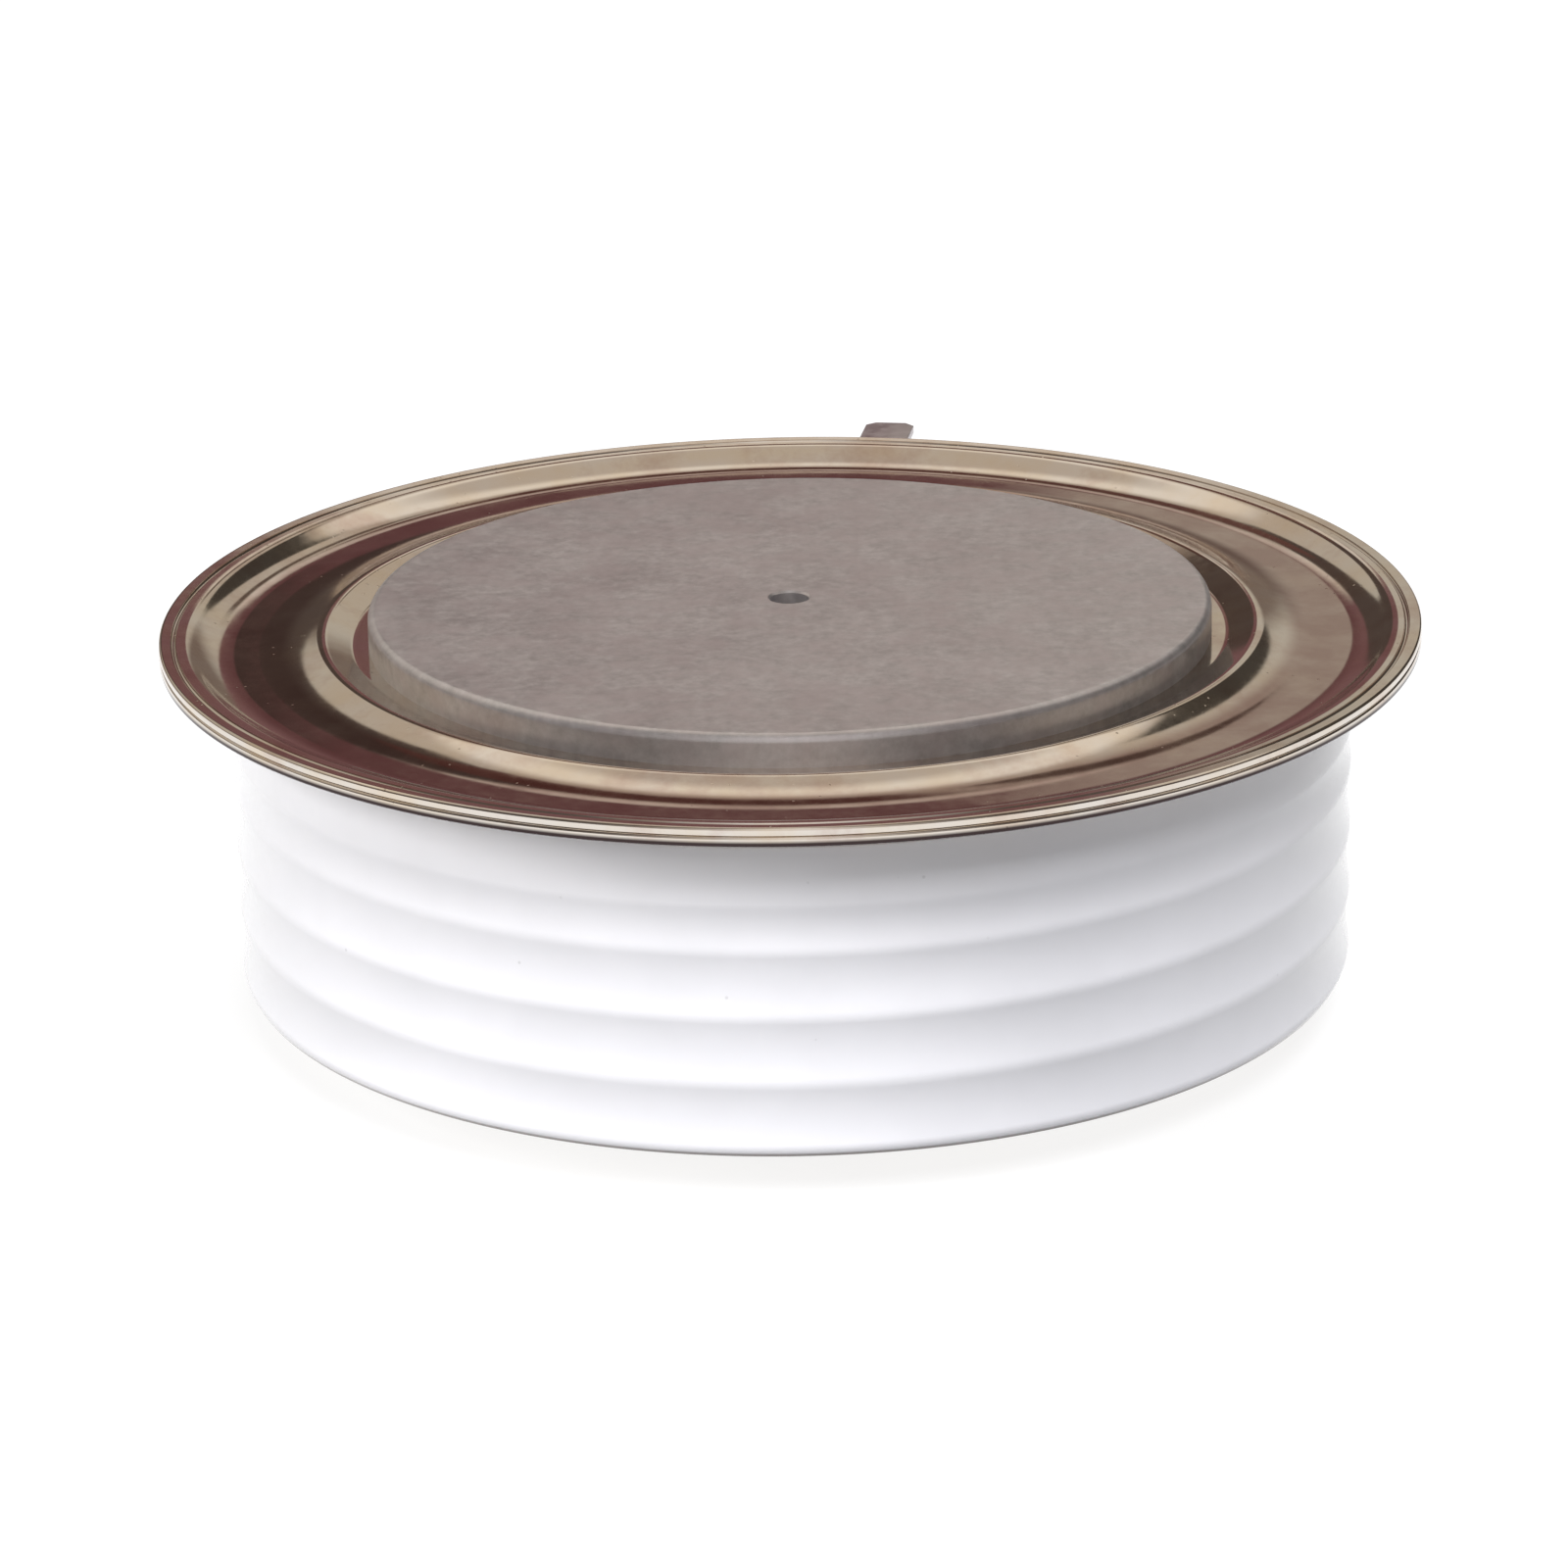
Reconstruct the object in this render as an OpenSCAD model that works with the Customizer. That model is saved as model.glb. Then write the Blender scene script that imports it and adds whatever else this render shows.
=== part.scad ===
// Disc thyristor in a ribbed ceramic capsule, made to be clamped between two
// heat sinks. Millimetres, +Z up. The origin is the centre of the lower (anode)
// contact face. The cathode face looks up, and both blade terminals point to +Y.

/* [Capsule] */
// Height between the two contact faces
height = 37; // [35:0.5:42]
// Diameter of both copper contact faces
pole_d = 75; // [65:0.5:85]
// Radial distance from the contact faces' edge to the ceramic's bore
bore_gap = 6.1; // [5.5:0.1:7]
// Radial distance from the ceramic's crests out to the welded flange's edge
overhang = 6; // [5.5:0.1:7]
// Radius of the rounded edge of each contact face
face_edge = 0.75; // [0.3:0.05:1]
// Height of the cathode face above the lid
cathode_boss = 2.9; // [2:0.1:4]
// Height of the anode flange above the anode face
anode_boss = 2.2; // [1.5:0.1:3]
// Width of the shoulder that each flange is brazed to
shoulder_w = 1.4; // [1:0.1:2]
// Thickness of the shoulder that each flange is brazed to
shoulder_t = 2; // [1:0.1:3]
// Diameter of the locating hole in each contact face
locating_d = 3.5; // [2:0.1:5]
// Depth of the locating hole in each contact face
locating_depth = 2; // [1:0.1:3]

/* [Flanges] */
// Thickness of the lid's formed sheet
lid_t = 0.8; // [0.5:0.05:1]
// Thickness of the ring that the lid is welded to
weld_t = 0.9; // [0.6:0.05:1.2]
// Thickness of the anode flange's sheet
anode_t = 0.8; // [0.5:0.05:1]
// Width of the flat rim where lid and weld ring are joined
rim_w = 2.6; // [2.2:0.1:3.5]
// Rise of the rim above the lid's inner shelf
rim_rise = 1.45; // [1.2:0.05:2.5]
// Radial run of the slope from the dish up to the rim
rim_run = 2.2; // [2:0.1:3]
// Distance of the ridge's crest from the cathode face's edge
ridge_out = 4.1; // [3.5:0.1:4.5]
// Rise of the ridge above the lid's inner shelf
ridge_rise = 0.95; // [0.4:0.05:1.3]
// Radial run of the ridge's outer slope down to the dish
ridge_run = 5; // [4:0.1:6]
// Drop of the dish below the lid's inner shelf
dish_drop = 0.2; // [0:0.05:0.6]
// Slope coined into the rim's upper face, lower on its inner side
rim_coin = 0.18; // [0:0.02:0.3]
// Round of the sheets' cut edges at the rim
rim_edge = 0.26; // [0.1:0.02:0.38]
// Distance of the cold-weld groove from the rim's edge
groove_in = 1.3; // [1.1:0.05:1.6]
// Radius of the cold-weld groove's section
groove_r = 0.26; // [0.16:0.02:0.4]
// Gap between the nested dishes of the lid and the weld ring
nest_gap = 0.15; // [0.05:0.05:0.4]

/* [Insulator] */
// Wall of the ceramic ring at its crests
ceramic_wall = 6.4; // [5.4:0.1:7.4]
// Height of the ceramic's lower end above the anode face
ceramic_base = 4.2; // [3.6:0.1:5]
// Height of the plain band at the ceramic's upper end, which the gate tube crosses
band_h = 5.6; // [5:0.1:7]
// Height of the shallower cove below that band
top_cove_h = 4; // [3:0.1:5]
// Number of rounded crests below that cove
rib_count = 4; // [2:1:5]
// Height of the lowest crest above the ceramic's lower end
rib_first = 0.7; // [0.6:0.05:1]
// Height of each crest over its coves, before both are rounded
rib_h = 0.6; // [0.4:0.05:0.9]
// Radius of the rounded crests
crest_r = 2.4; // [1:0.1:3]
// Radius of the ceramic's glazed outer edges
glaze_r = 0.6; // [0.2:0.05:0.7]

/* [Stack] */
// Length of the cathode pole; the anode pole takes up the rest of the height
cathode_h = 16.6; // [15:0.1:18]
// How far the cathode pole's side steps in inside the capsule
contact_step = 3.2; // [2.5:0.1:4]
// How far the anode strain disc stands out past the anode pole
anode_disc_out = 0.6; // [0.4:0.1:1]
// Thickness of the anode strain disc
anode_disc_t = 2.5; // [2:0.1:3]
// Thickness of the silicon wafer
wafer_t = 0.8; // [0.5:0.05:1]
// Radial width of the wafer's bevelled edge
bevel_w = 1; // [0.5:0.1:1.5]
// Thickness of the cathode strain disc
cathode_disc_t = 1.5; // [1:0.1:2]
// Thickness of the rubber over the wafer's edge
rubber_t = 0.5; // [0.3:0.05:0.7]
// How far the rubber laps over the wafer's upper face
rubber_lap = 0.6; // [0.4:0.1:1]

/* [Gate] */
// Direction of the gate terminal, from +X
gate_azimuth = 99; // [95:1:115]
// Bore of the hole for the gate assembly
gate_bore_d = 8; // [7.8:0.1:9]
// Depth of the hole for the gate assembly
gate_bore_depth = 9; // [8.5:0.1:9.5]
// Wall of the gate's insulating sleeve
gate_wall = 1; // [0.7:0.05:1.1]
// Diameter of the gate pin's tip
pin_tip_d = 1.8; // [1.4:0.1:2]
// Diameter of the gate pin's stem
pin_stem_d = 2; // [1.6:0.1:2.1]
// Diameter of the gate pin's collar
pin_collar_d = 5; // [4.8:0.1:5.2]
// Thickness of the gate pin's collar
pin_collar_t = 1; // [0.7:0.1:1.2]
// Height of that collar above the cathode strain disc
pin_travel = 1.2; // [0.8:0.1:1.5]
// Diameter of the bush that centres the gate pin
bush_d = 6.6; // [6:0.1:7]
// Wire of the gate spring
spring_wire = 0.6; // [0.4:0.05:0.65]
// Turns of the gate spring
spring_turns = 5; // [3:1:5]
// Diameter of the gate lead's wire
lead_d = 1.2; // [0.9:0.05:1.3]
// Outer diameter of the eyelet on the gate lead
eyelet_d = 4.2; // [3.6:0.1:4.6]
// Outer diameter of the gate lead's insulation
lead_sleeve_d = 2.4; // [2:0.1:2.6]
// Outer diameter of the tube through the ceramic
gate_tube_d = 3; // [2.4:0.1:3.4]
// Wall of that tube
gate_tube_wall = 0.7; // [0.5:0.05:0.8]
// How far that tube stands out of the ceramic
gate_tube_out = 4; // [3:0.1:5]
// Length of the crimp on that tube
crimp_len = 3; // [2:0.1:3.5]
// Wall of the crimp on that tube
crimp_wall = 0.6; // [0.4:0.05:0.8]

/* [Terminals] */
// Width of the blade terminals
blade_w = 4.8; // [2.8:0.1:6.3]
// Thickness of the blade terminals
blade_t = 0.8; // [0.5:0.05:1]
// Free length of the blade terminals
blade_free = 10.9; // [8:0.1:14]
// Diameter of the hole in each blade
blade_hole_d = 1.8; // [1:0.1:2]
// Distance of that hole from the blade's tip
blade_hole_in = 2.6; // [2.2:0.1:4]
// Clipped corner at each blade's tip
blade_clip = 0.9; // [0.3:0.1:1.2]
// Direction of the auxiliary cathode blade, from +X
cathode_tab_azimuth = 81; // [65:1:85]

/* [Hidden] */

$fn = 96;
arc_step = 6;           // largest turn between two points of a rounded corner
clear = 0.1;            // sliding clearance of the small inner pieces
room = 0.2;             // clearance round the discs
over = 1;               // how far a cutting shape runs past what it cuts

shoulder_round = 0.4;   // inner bend of the lid where it leaves the pole
ridge_round = 0.5;      // round of the ridge's crest
ridge_cut = 0.1;        // what that round takes off the crest
flank_round = 6;        // round from the ridge's outer slope into the dish
dish_round = 1.5;       // round from the dish into the slope up to the rim
rim_round = 0.6;        // inner bend from that slope into the rim
sheet_edge = 0.1;       // round of the anode flange's cut edge
tab_gap = 0.1;          // gap from the blade's root to the weld ring's bend
weld_lip = 0.4;         // the weld ring's inner edge, outside the ceramic's bore
anode_round = 0.5;      // inner bends of the anode flange
anode_flat = 0.5;       // flat of the anode flange past the pole's shoulder
anode_cone_in = 1.6;    // foot of its cone, inside the ceramic's bore
anode_lip = 2.8;        // its outer edge, inside the ceramic's surface
end_chamfer = 0.4;      // chamfer of the ceramic's bore
foot_in = 0.4;          // the ceramic's lower edge, inside its crests
foot_round = 1.2;       // round of the lowest crest
cove_share = 0.99;      // how much of each flank the rounds take up
disc_edge = 0.3;        // broken edges of the discs
wafer_inset = 0.3;      // the wafer's edge, inside the anode strain disc's
lead_bend_share = 0.4;  // bend radius of the gate lead, as a share of its rise
lead_lap = 0.3;         // how far the gate lead runs into its eyelet
lead_bare = 0.6;        // bare length of the gate lead next to its eyelet
lead_short = 1;         // the gate lead's end, inside the gate tube's
pin_short = 1;          // gap from the gate pin's stem to the end of its bore
spring_gap = 0.02;      // gap at each end of the gate spring
tube_in = 0.7;          // how far the gate tube stands into the capsule
tube_gap = 0.3;         // gap from the lead's insulation to the gate tube

nickel = [0.70, 0.67, 0.65];
bright_nickel = [0.78, 0.75, 0.70];
glaze = [0.93, 0.93, 0.95];
molybdenum = [0.55, 0.56, 0.60];
silicon = [0.32, 0.33, 0.40];
silicone_rubber = [0.90, 0.88, 0.82];
insulation = [0.95, 0.95, 0.93];

// Radii, from the contact faces outwards
pole_r = pole_d / 2;
contact_r = pole_r - contact_step;
anode_disc_r = pole_r + anode_disc_out;
shoulder_r = pole_r + shoulder_w;
bore_r = pole_r + bore_gap;
ceramic_r = bore_r + ceramic_wall;
flange_r = ceramic_r + overhang;

// Lid, from the cathode face down
shelf_z = height - cathode_boss;
ridge_z = shelf_z + ridge_rise;
dish_z = shelf_z - dish_drop;
rim_z = shelf_z + rim_rise;
seam_z = rim_z - lid_t;
rim_r = flange_r - rim_w;
dish_r = rim_r - rim_run;
ridge_r = pole_r + ridge_out;
groove_at = flange_r - groove_in;
foot_z = dish_z - lid_t - nest_gap;
ceramic_top = foot_z - weld_t;

// Crests and coves, from the ceramic's lower end up to the plain band
band_z = ceramic_top - band_h;
rib_last_z = band_z - top_cove_h;
rib_pitch = (rib_last_z - ceramic_base - rib_first) / (rib_count - 1);
rib_slope = 2 * rib_h / rib_pitch;
gate_z = (band_z + ceramic_top) / 2;

// Stack, from the anode face up
anode_flange_z = anode_boss + anode_t;
anode_disc_z = height - cathode_h - cathode_disc_t - wafer_t - anode_disc_t;
wafer_z = anode_disc_z + anode_disc_t;
cathode_disc_z = wafer_z + wafer_t;
contact_z = cathode_disc_z + cathode_disc_t;
wafer_r = anode_disc_r - wafer_inset;
wafer_top_r = wafer_r - bevel_w;

// Gate assembly, from the wafer up
gate_bore_r = gate_bore_d / 2;
gate_bore_top = contact_z + gate_bore_depth;
sleeve_r = gate_bore_r - clear;
sleeve_bore_r = sleeve_r - gate_wall;
sleeve_bore_top = gate_bore_top - gate_wall;
bush_r = bush_d / 2;
collar_z = contact_z + pin_travel;
collar_top = collar_z + pin_collar_t;
eyelet_r = eyelet_d / 2;
lead_z = collar_top + lead_d / 2;
lead_bend = lead_bend_share * (gate_z - lead_z);
spring_z = collar_top + lead_d;
spring_r = pin_stem_d / 2 + clear + spring_wire;
slot_w = lead_sleeve_d + 2 * room;
slot_h = lead_z + slot_w / 2 - contact_z;
lead_turn_x = (contact_r + bore_r) / 2;
gate_tube_x = bore_r - tube_in;
gate_tube_end = ceramic_r + gate_tube_out;

function unit(v) = v / norm(v);
function left_of(v) = [-v[1], v[0]];
function cross2(a, b) = a[0] * b[1] - a[1] * b[0];
function xy(p) = [p[0], p[1]];
function heading(path, i) = unit(xy(path[i + 1]) - xy(path[i]));

// Points of the round that replaces corner b between a and c
function corner(a, b, c, r) =
    let (
        u = unit(a - b),
        v = unit(c - b),
        half = acos(u * v) / 2,
        centre = b + unit(u + v) * r / sin(half),
        from = b + u * r / tan(half) - centre,
        side = cross2(-u, v) > 0 ? 1 : -1,
        sweep = side * (180 - 2 * half),
        steps = ceil(abs(sweep) / arc_step),
        start = atan2(from[1], from[0])
    )
    [for (k = [0:steps]) centre + r * [cos(start + sweep * k / steps), sin(start + sweep * k / steps)]];

// An open path of [x, y, radius] with its inner corners rounded
function rounded(path) =
    let (last = len(path) - 1)
    [
        for (i = [0:last])
            each (i == 0 || i == last || path[i][2] <= 0)
                ? [xy(path[i])]
                : corner(xy(path[i - 1]), xy(path[i]), xy(path[i + 1]), path[i][2])
    ];

// The path that runs beside another at distance d to its left, with parallel rounds
function beside(path, d) =
    let (last = len(path) - 1)
    [
        for (i = [0:last])
            let (
                into = i == 0 ? heading(path, 0) : heading(path, i - 1),
                out = i == last ? into : heading(path, i),
                n = left_of(into),
                m = left_of(out),
                at = xy(path[i]) + (n + m) * d / (1 + n * m),
                turn = cross2(into, out) > 0 ? 1 : -1
            )
            [at[0], at[1], i == 0 || i == last ? 0 : path[i][2] - turn * d]
    ];

function reversed(list) = [for (i = [len(list) - 1:-1:0]) list[i]];

function but_last(list) = [for (i = [0:len(list) - 2]) list[i]];
function outer_end(path, edge) = let (p = path[len(path) - 1]) [p[0], p[1], edge];

// Section of a sheet between the paths of its upper and lower face, whose outer
// edge has two rounds of radius edge
module sheet(upper, lower, edge) {
    polygon(rounded(concat(
        but_last(upper), [outer_end(upper, edge)],
        [outer_end(lower, edge)], reversed(but_last(lower))
    )));
}

// Face of the lid from the pole out to the rim, whose inner side is coined down
function lid_face(coin) = [
    [pole_r, shelf_z, 0],
    [shoulder_r, shelf_z, lid_t + shoulder_round],
    [ridge_r, ridge_z + ridge_cut, ridge_round],
    [ridge_r + ridge_run, dish_z, flank_round],
    [dish_r, dish_z, dish_round],
    [rim_r, rim_z - coin, lid_t + rim_round],
    [flange_r, rim_z, 0]
];
lid_under = beside(lid_face(0), -lid_t);
nest_foot_r = lid_under[4][0] + nest_gap;
nest_rim_r = lid_under[5][0] + nest_gap;

// Upper face of the weld ring, which nests under the lid's dish and meets its rim
weld_path = [
    [bore_r + weld_lip, foot_z, 0],
    [nest_foot_r, foot_z, dish_round + lid_t + weld_t],
    [nest_rim_r, seam_z, weld_t + rim_round],
    [flange_r, seam_z, 0]
];

// Upper face of the anode flange, from the pole out to under the ceramic
anode_path = [
    [pole_r, anode_flange_z, 0],
    [shoulder_r + anode_flat, anode_flange_z, anode_t + anode_round],
    [bore_r - anode_cone_in, ceramic_base, anode_t + anode_round],
    [ceramic_r - anode_lip, ceramic_base, 0]
];

// Half section of a contact piece: face with its rounded edge, seat and shoulder
// for its flange, and the side and end inside the capsule. up is 1 where it faces
// up and -1 where it faces down
module pole_section(face_z, seat_z, inner_z, inner_r, up) {
    polygon(rounded([
        [0, face_z, 0],
        [pole_r, face_z, face_edge],
        [pole_r, seat_z, 0],
        [shoulder_r, seat_z, 0],
        [shoulder_r, seat_z - up * shoulder_t, 0],
        [inner_r, seat_z - up * shoulder_t, 0],
        [inner_r, inner_z + up * disc_edge, 0],
        [inner_r - disc_edge, inner_z, 0],
        [0, inner_z, 0]
    ]));
}

// Flat disc with broken edges
module disc(r, t, z) {
    translate([0, 0, z])
        rotate_extrude()
            polygon([
                [0, 0], [r - disc_edge, 0], [r, disc_edge],
                [r, t - disc_edge], [r - disc_edge, t], [0, t]
            ]);
}

module ring(r_out, r_in, z0, z1) {
    rotate_extrude()
        translate([r_in, z0])
            square([r_out - r_in, z1 - z0]);
}

module locating_hole(z0) {
    translate([0, 0, z0])
        cylinder(d = locating_d, h = locating_depth + over);
}

module at_gate() {
    rotate([0, 0, gate_azimuth])
        children();
}

// Copper contact pieces
module cathode_pole() {
    color(nickel)
    difference() {
        rotate_extrude()
            pole_section(height, shelf_z - lid_t, contact_z, contact_r, 1);
        locating_hole(height - locating_depth);
        translate([0, 0, contact_z - over])
            cylinder(r = gate_bore_r, h = gate_bore_depth + over);
        at_gate()
            translate([0, -slot_w / 2, contact_z - over])
                cube([contact_r + over, slot_w, slot_h + over]);
    }
}

module anode_pole() {
    color(nickel)
    difference() {
        rotate_extrude()
            pole_section(0, anode_flange_z, anode_disc_z, pole_r, -1);
        locating_hole(-over);
    }
}

// Formed sheet flanges
module weld_groove(z) {
    rotate_extrude()
        translate([groove_at, z])
            circle(r = groove_r);
}

module lid_flange() {
    color(bright_nickel)
    difference() {
        rotate_extrude()
            sheet(lid_face(rim_coin), lid_under, rim_edge);
        weld_groove(rim_z - rim_coin * groove_in / rim_w);
    }
}

module weld_ring() {
    color(bright_nickel)
    difference() {
        rotate_extrude()
            sheet(weld_path, beside(weld_path, -weld_t), rim_edge);
        weld_groove(seam_z - weld_t);
    }
}

module anode_flange() {
    color(bright_nickel)
    rotate_extrude()
        sheet(anode_path, beside(anode_path, -anode_t), sheet_edge);
}

// Deepest point of a cove of height h that starts at z, with its radius
function cove(z, h) =
    [ceramic_r - rib_slope * h / 2, z + h / 2, cove_share * h / 2 * norm([1, 1 / rib_slope]) - crest_r];

// Section of the glazed ceramic ring, with coves between its rounded crests
module ceramic_section() {
    polygon(rounded([
        [bore_r, ceramic_base + end_chamfer, 0],
        [bore_r + end_chamfer, ceramic_base, 0],
        [ceramic_r - foot_in, ceramic_base, foot_in / 2],
        [ceramic_r, ceramic_base + rib_first, foot_round],
        for (k = [0:rib_count - 2])
            let (z = ceramic_base + rib_first + k * rib_pitch)
            each [cove(z, rib_pitch), [ceramic_r, z + rib_pitch, crest_r]],
        cove(rib_last_z, top_cove_h),
        [ceramic_r, band_z, crest_r],
        [ceramic_r, ceramic_top, glaze_r],
        [bore_r + end_chamfer, ceramic_top, 0],
        [bore_r, ceramic_top - end_chamfer, 0]
    ]));
}

module ceramic_ring() {
    color(glaze)
    difference() {
        rotate_extrude()
            ceramic_section();
        at_gate()
            translate([bore_r - over, 0, gate_z])
                rotate([0, 90, 0])
                    cylinder(d = gate_tube_d, h = ceramic_wall + 2 * over);
    }
}

// Pressure-contact stack
module anode_strain_disc() {
    color(molybdenum)
    disc(anode_disc_r, anode_disc_t, anode_disc_z);
}

module silicon_wafer() {
    color(silicon)
    translate([0, 0, wafer_z])
        cylinder(r1 = wafer_r, r2 = wafer_top_r, h = wafer_t);
}

module edge_rubber() {
    color(silicone_rubber)
    rotate_extrude()
        polygon([
            [wafer_r, wafer_z],
            [anode_disc_r - disc_edge, wafer_z],
            [wafer_r, cathode_disc_z],
            [wafer_top_r + bevel_w / 2, cathode_disc_z + rubber_t],
            [wafer_top_r - rubber_lap, cathode_disc_z + rubber_t],
            [wafer_top_r - rubber_lap, cathode_disc_z],
            [wafer_top_r, cathode_disc_z]
        ]);
}

module cathode_strain_disc() {
    color(molybdenum)
    difference() {
        disc(contact_r, cathode_disc_t, cathode_disc_z);
        translate([0, 0, cathode_disc_z - over])
            cylinder(r = bush_r + clear, h = cathode_disc_t + 2 * over);
    }
}

module locating_ring() {
    color(insulation)
    difference() {
        ring(bore_r - room, pole_r + room, anode_flange_z + shoulder_t, cathode_disc_z);
        translate([0, 0, anode_disc_z - room])
            cylinder(r = anode_disc_r + room, h = height);
    }
}

// Gate contact in the cathode pole
module gate_bush() {
    color(insulation)
    ring(bush_r, pin_tip_d / 2 + clear, cathode_disc_z, contact_z);
}

module gate_pin() {
    color(bright_nickel) {
        translate([0, 0, cathode_disc_z])
            cylinder(d = pin_tip_d, h = collar_z - cathode_disc_z);
        translate([0, 0, collar_z])
            cylinder(d = pin_collar_d, h = collar_top - collar_z);
        translate([0, 0, collar_top])
            cylinder(d = pin_stem_d, h = sleeve_bore_top - pin_short - collar_top);
    }
}

module gate_sleeve() {
    color(insulation)
    difference() {
        translate([0, 0, contact_z + room])
            cylinder(r = sleeve_r, h = gate_bore_top - contact_z - room);
        translate([0, 0, contact_z - over])
            cylinder(r = sleeve_bore_r, h = sleeve_bore_top - contact_z + over);
        at_gate()
            translate([0, -slot_w / 2, contact_z - over])
                cube([gate_bore_r + over, slot_w, slot_h + over]);
    }
}

// Closed tube of round section along a helix about Z
module coil(r, wire, z0, rise, turns) {
    sides = 8;
    rings = 20 * turns;
    slope = atan(rise / (turns * 360) * 180 / (PI * r));
    points = [
        for (i = [0:rings], s = [0:sides - 1])
            let (a = 360 * turns * i / rings, b = 360 * s / sides, w = wire / 2)
            [
                (r + w * cos(b)) * cos(a) + w * sin(b) * sin(slope) * sin(a),
                (r + w * cos(b)) * sin(a) - w * sin(b) * sin(slope) * cos(a),
                z0 + rise * i / rings + w * sin(b) * cos(slope)
            ]
    ];
    walls = [
        for (i = [0:rings - 1], s = [0:sides - 1])
            let (p = i * sides + s, q = i * sides + (s + 1) % sides)
            [p, q, q + sides, p + sides]
    ];
    caps = [
        [for (s = [sides - 1:-1:0]) s],
        [for (s = [0:sides - 1]) rings * sides + s]
    ];
    polyhedron(points, concat(walls, caps));
}

module gate_spring() {
    seat = spring_wire / 2 + spring_gap;
    color(bright_nickel)
    coil(spring_r, spring_wire, spring_z + seat, sleeve_bore_top - spring_z - 2 * seat, spring_turns);
}

// Section swept along the gate lead's route, from radius x0 to radius x1
module along_lead(x0, x1) {
    x_in = lead_turn_x - lead_bend;
    x_out = lead_turn_x + lead_bend;
    translate([x0, 0, lead_z])
        rotate([90, 0, 90])
            linear_extrude(x_in - x0)
                children();
    translate([x_in, 0, lead_z + lead_bend])
        rotate([90, 0, 0])
            rotate_extrude(angle = 90, start = 270)
                translate([lead_bend, 0])
                    children();
    translate([lead_turn_x, 0, lead_z + lead_bend])
        linear_extrude(gate_z - lead_z - 2 * lead_bend)
            children();
    translate([x_out, 0, gate_z - lead_bend])
        rotate([90, 0, 0])
            rotate_extrude(angle = 90, start = 90)
                translate([lead_bend, 0])
                    children();
    translate([x_out, 0, gate_z])
        rotate([90, 0, 90])
            linear_extrude(x1 - x_out)
                children();
}

module gate_lead() {
    color(bright_nickel) {
        ring(eyelet_r, pin_stem_d / 2 + clear, collar_top, spring_z);
        at_gate()
            along_lead(eyelet_r - lead_lap, gate_tube_end - lead_short)
                circle(d = lead_d);
    }
}

module lead_sleeve() {
    color(insulation)
    at_gate()
        along_lead(eyelet_r + lead_bare, gate_tube_x - tube_gap)
            difference() {
                circle(d = lead_sleeve_d);
                circle(d = lead_d + clear);
            }
}

// Terminals
module gate_tube() {
    color(nickel)
    at_gate()
        translate([gate_tube_x, 0, gate_z])
            rotate([0, 90, 0])
                difference() {
                    cylinder(d = gate_tube_d, h = gate_tube_end - gate_tube_x);
                    translate([0, 0, -over])
                        cylinder(d = gate_tube_d - 2 * gate_tube_wall, h = gate_tube_end - gate_tube_x + 2 * over);
                }
}

// Flat blade along +X with clipped corners and a hole near its tip
module blade(length) {
    difference() {
        linear_extrude(blade_t)
            polygon([
                [0, -blade_w / 2],
                [length - blade_clip, -blade_w / 2],
                [length, blade_clip - blade_w / 2],
                [length, blade_w / 2 - blade_clip],
                [length - blade_clip, blade_w / 2],
                [0, blade_w / 2]
            ]);
        translate([length - blade_hole_in, 0, -over])
            cylinder(d = blade_hole_d, h = blade_t + 2 * over);
    }
}

module gate_tab() {
    crimp_r = gate_tube_d / 2 + crimp_wall;
    color(nickel)
    at_gate()
        union() {
            translate([gate_tube_end - crimp_len, 0, gate_z])
                rotate([0, 90, 0])
                    difference() {
                        cylinder(r = crimp_r, h = crimp_len + crimp_wall);
                        translate([0, 0, -over])
                            cylinder(d = gate_tube_d, h = crimp_len + over);
                    }
            translate([gate_tube_end + crimp_wall / 2, 0, gate_z - blade_t / 2])
                blade(blade_free);
        }
}

module cathode_tab() {
    root = rim_w - weld_t - tab_gap;
    color(nickel)
    rotate([0, 0, cathode_tab_azimuth])
        translate([flange_r - root, 0, seam_z - weld_t - blade_t])
            blade(root + blade_free);
}

cathode_pole();
lid_flange();
weld_ring();
ceramic_ring();
anode_flange();
anode_pole();
cathode_strain_disc();
silicon_wafer();
edge_rubber();
anode_strain_disc();
locating_ring();
gate_sleeve();
gate_spring();
gate_pin();
gate_bush();
gate_lead();
lead_sleeve();
gate_tube();
gate_tab();
cathode_tab();
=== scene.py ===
"""Looks of a disc thyristor in a ribbed ceramic capsule, laid out as an add-on.

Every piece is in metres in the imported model's frame: the origin is the centre of the
lower (anode) contact face, +Z is up, and both blade terminals point to +Y.
"""

import math

import bmesh
import bpy
from bpy.props import FloatProperty, FloatVectorProperty, IntProperty, PointerProperty
from mathutils import Matrix, Vector


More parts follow.
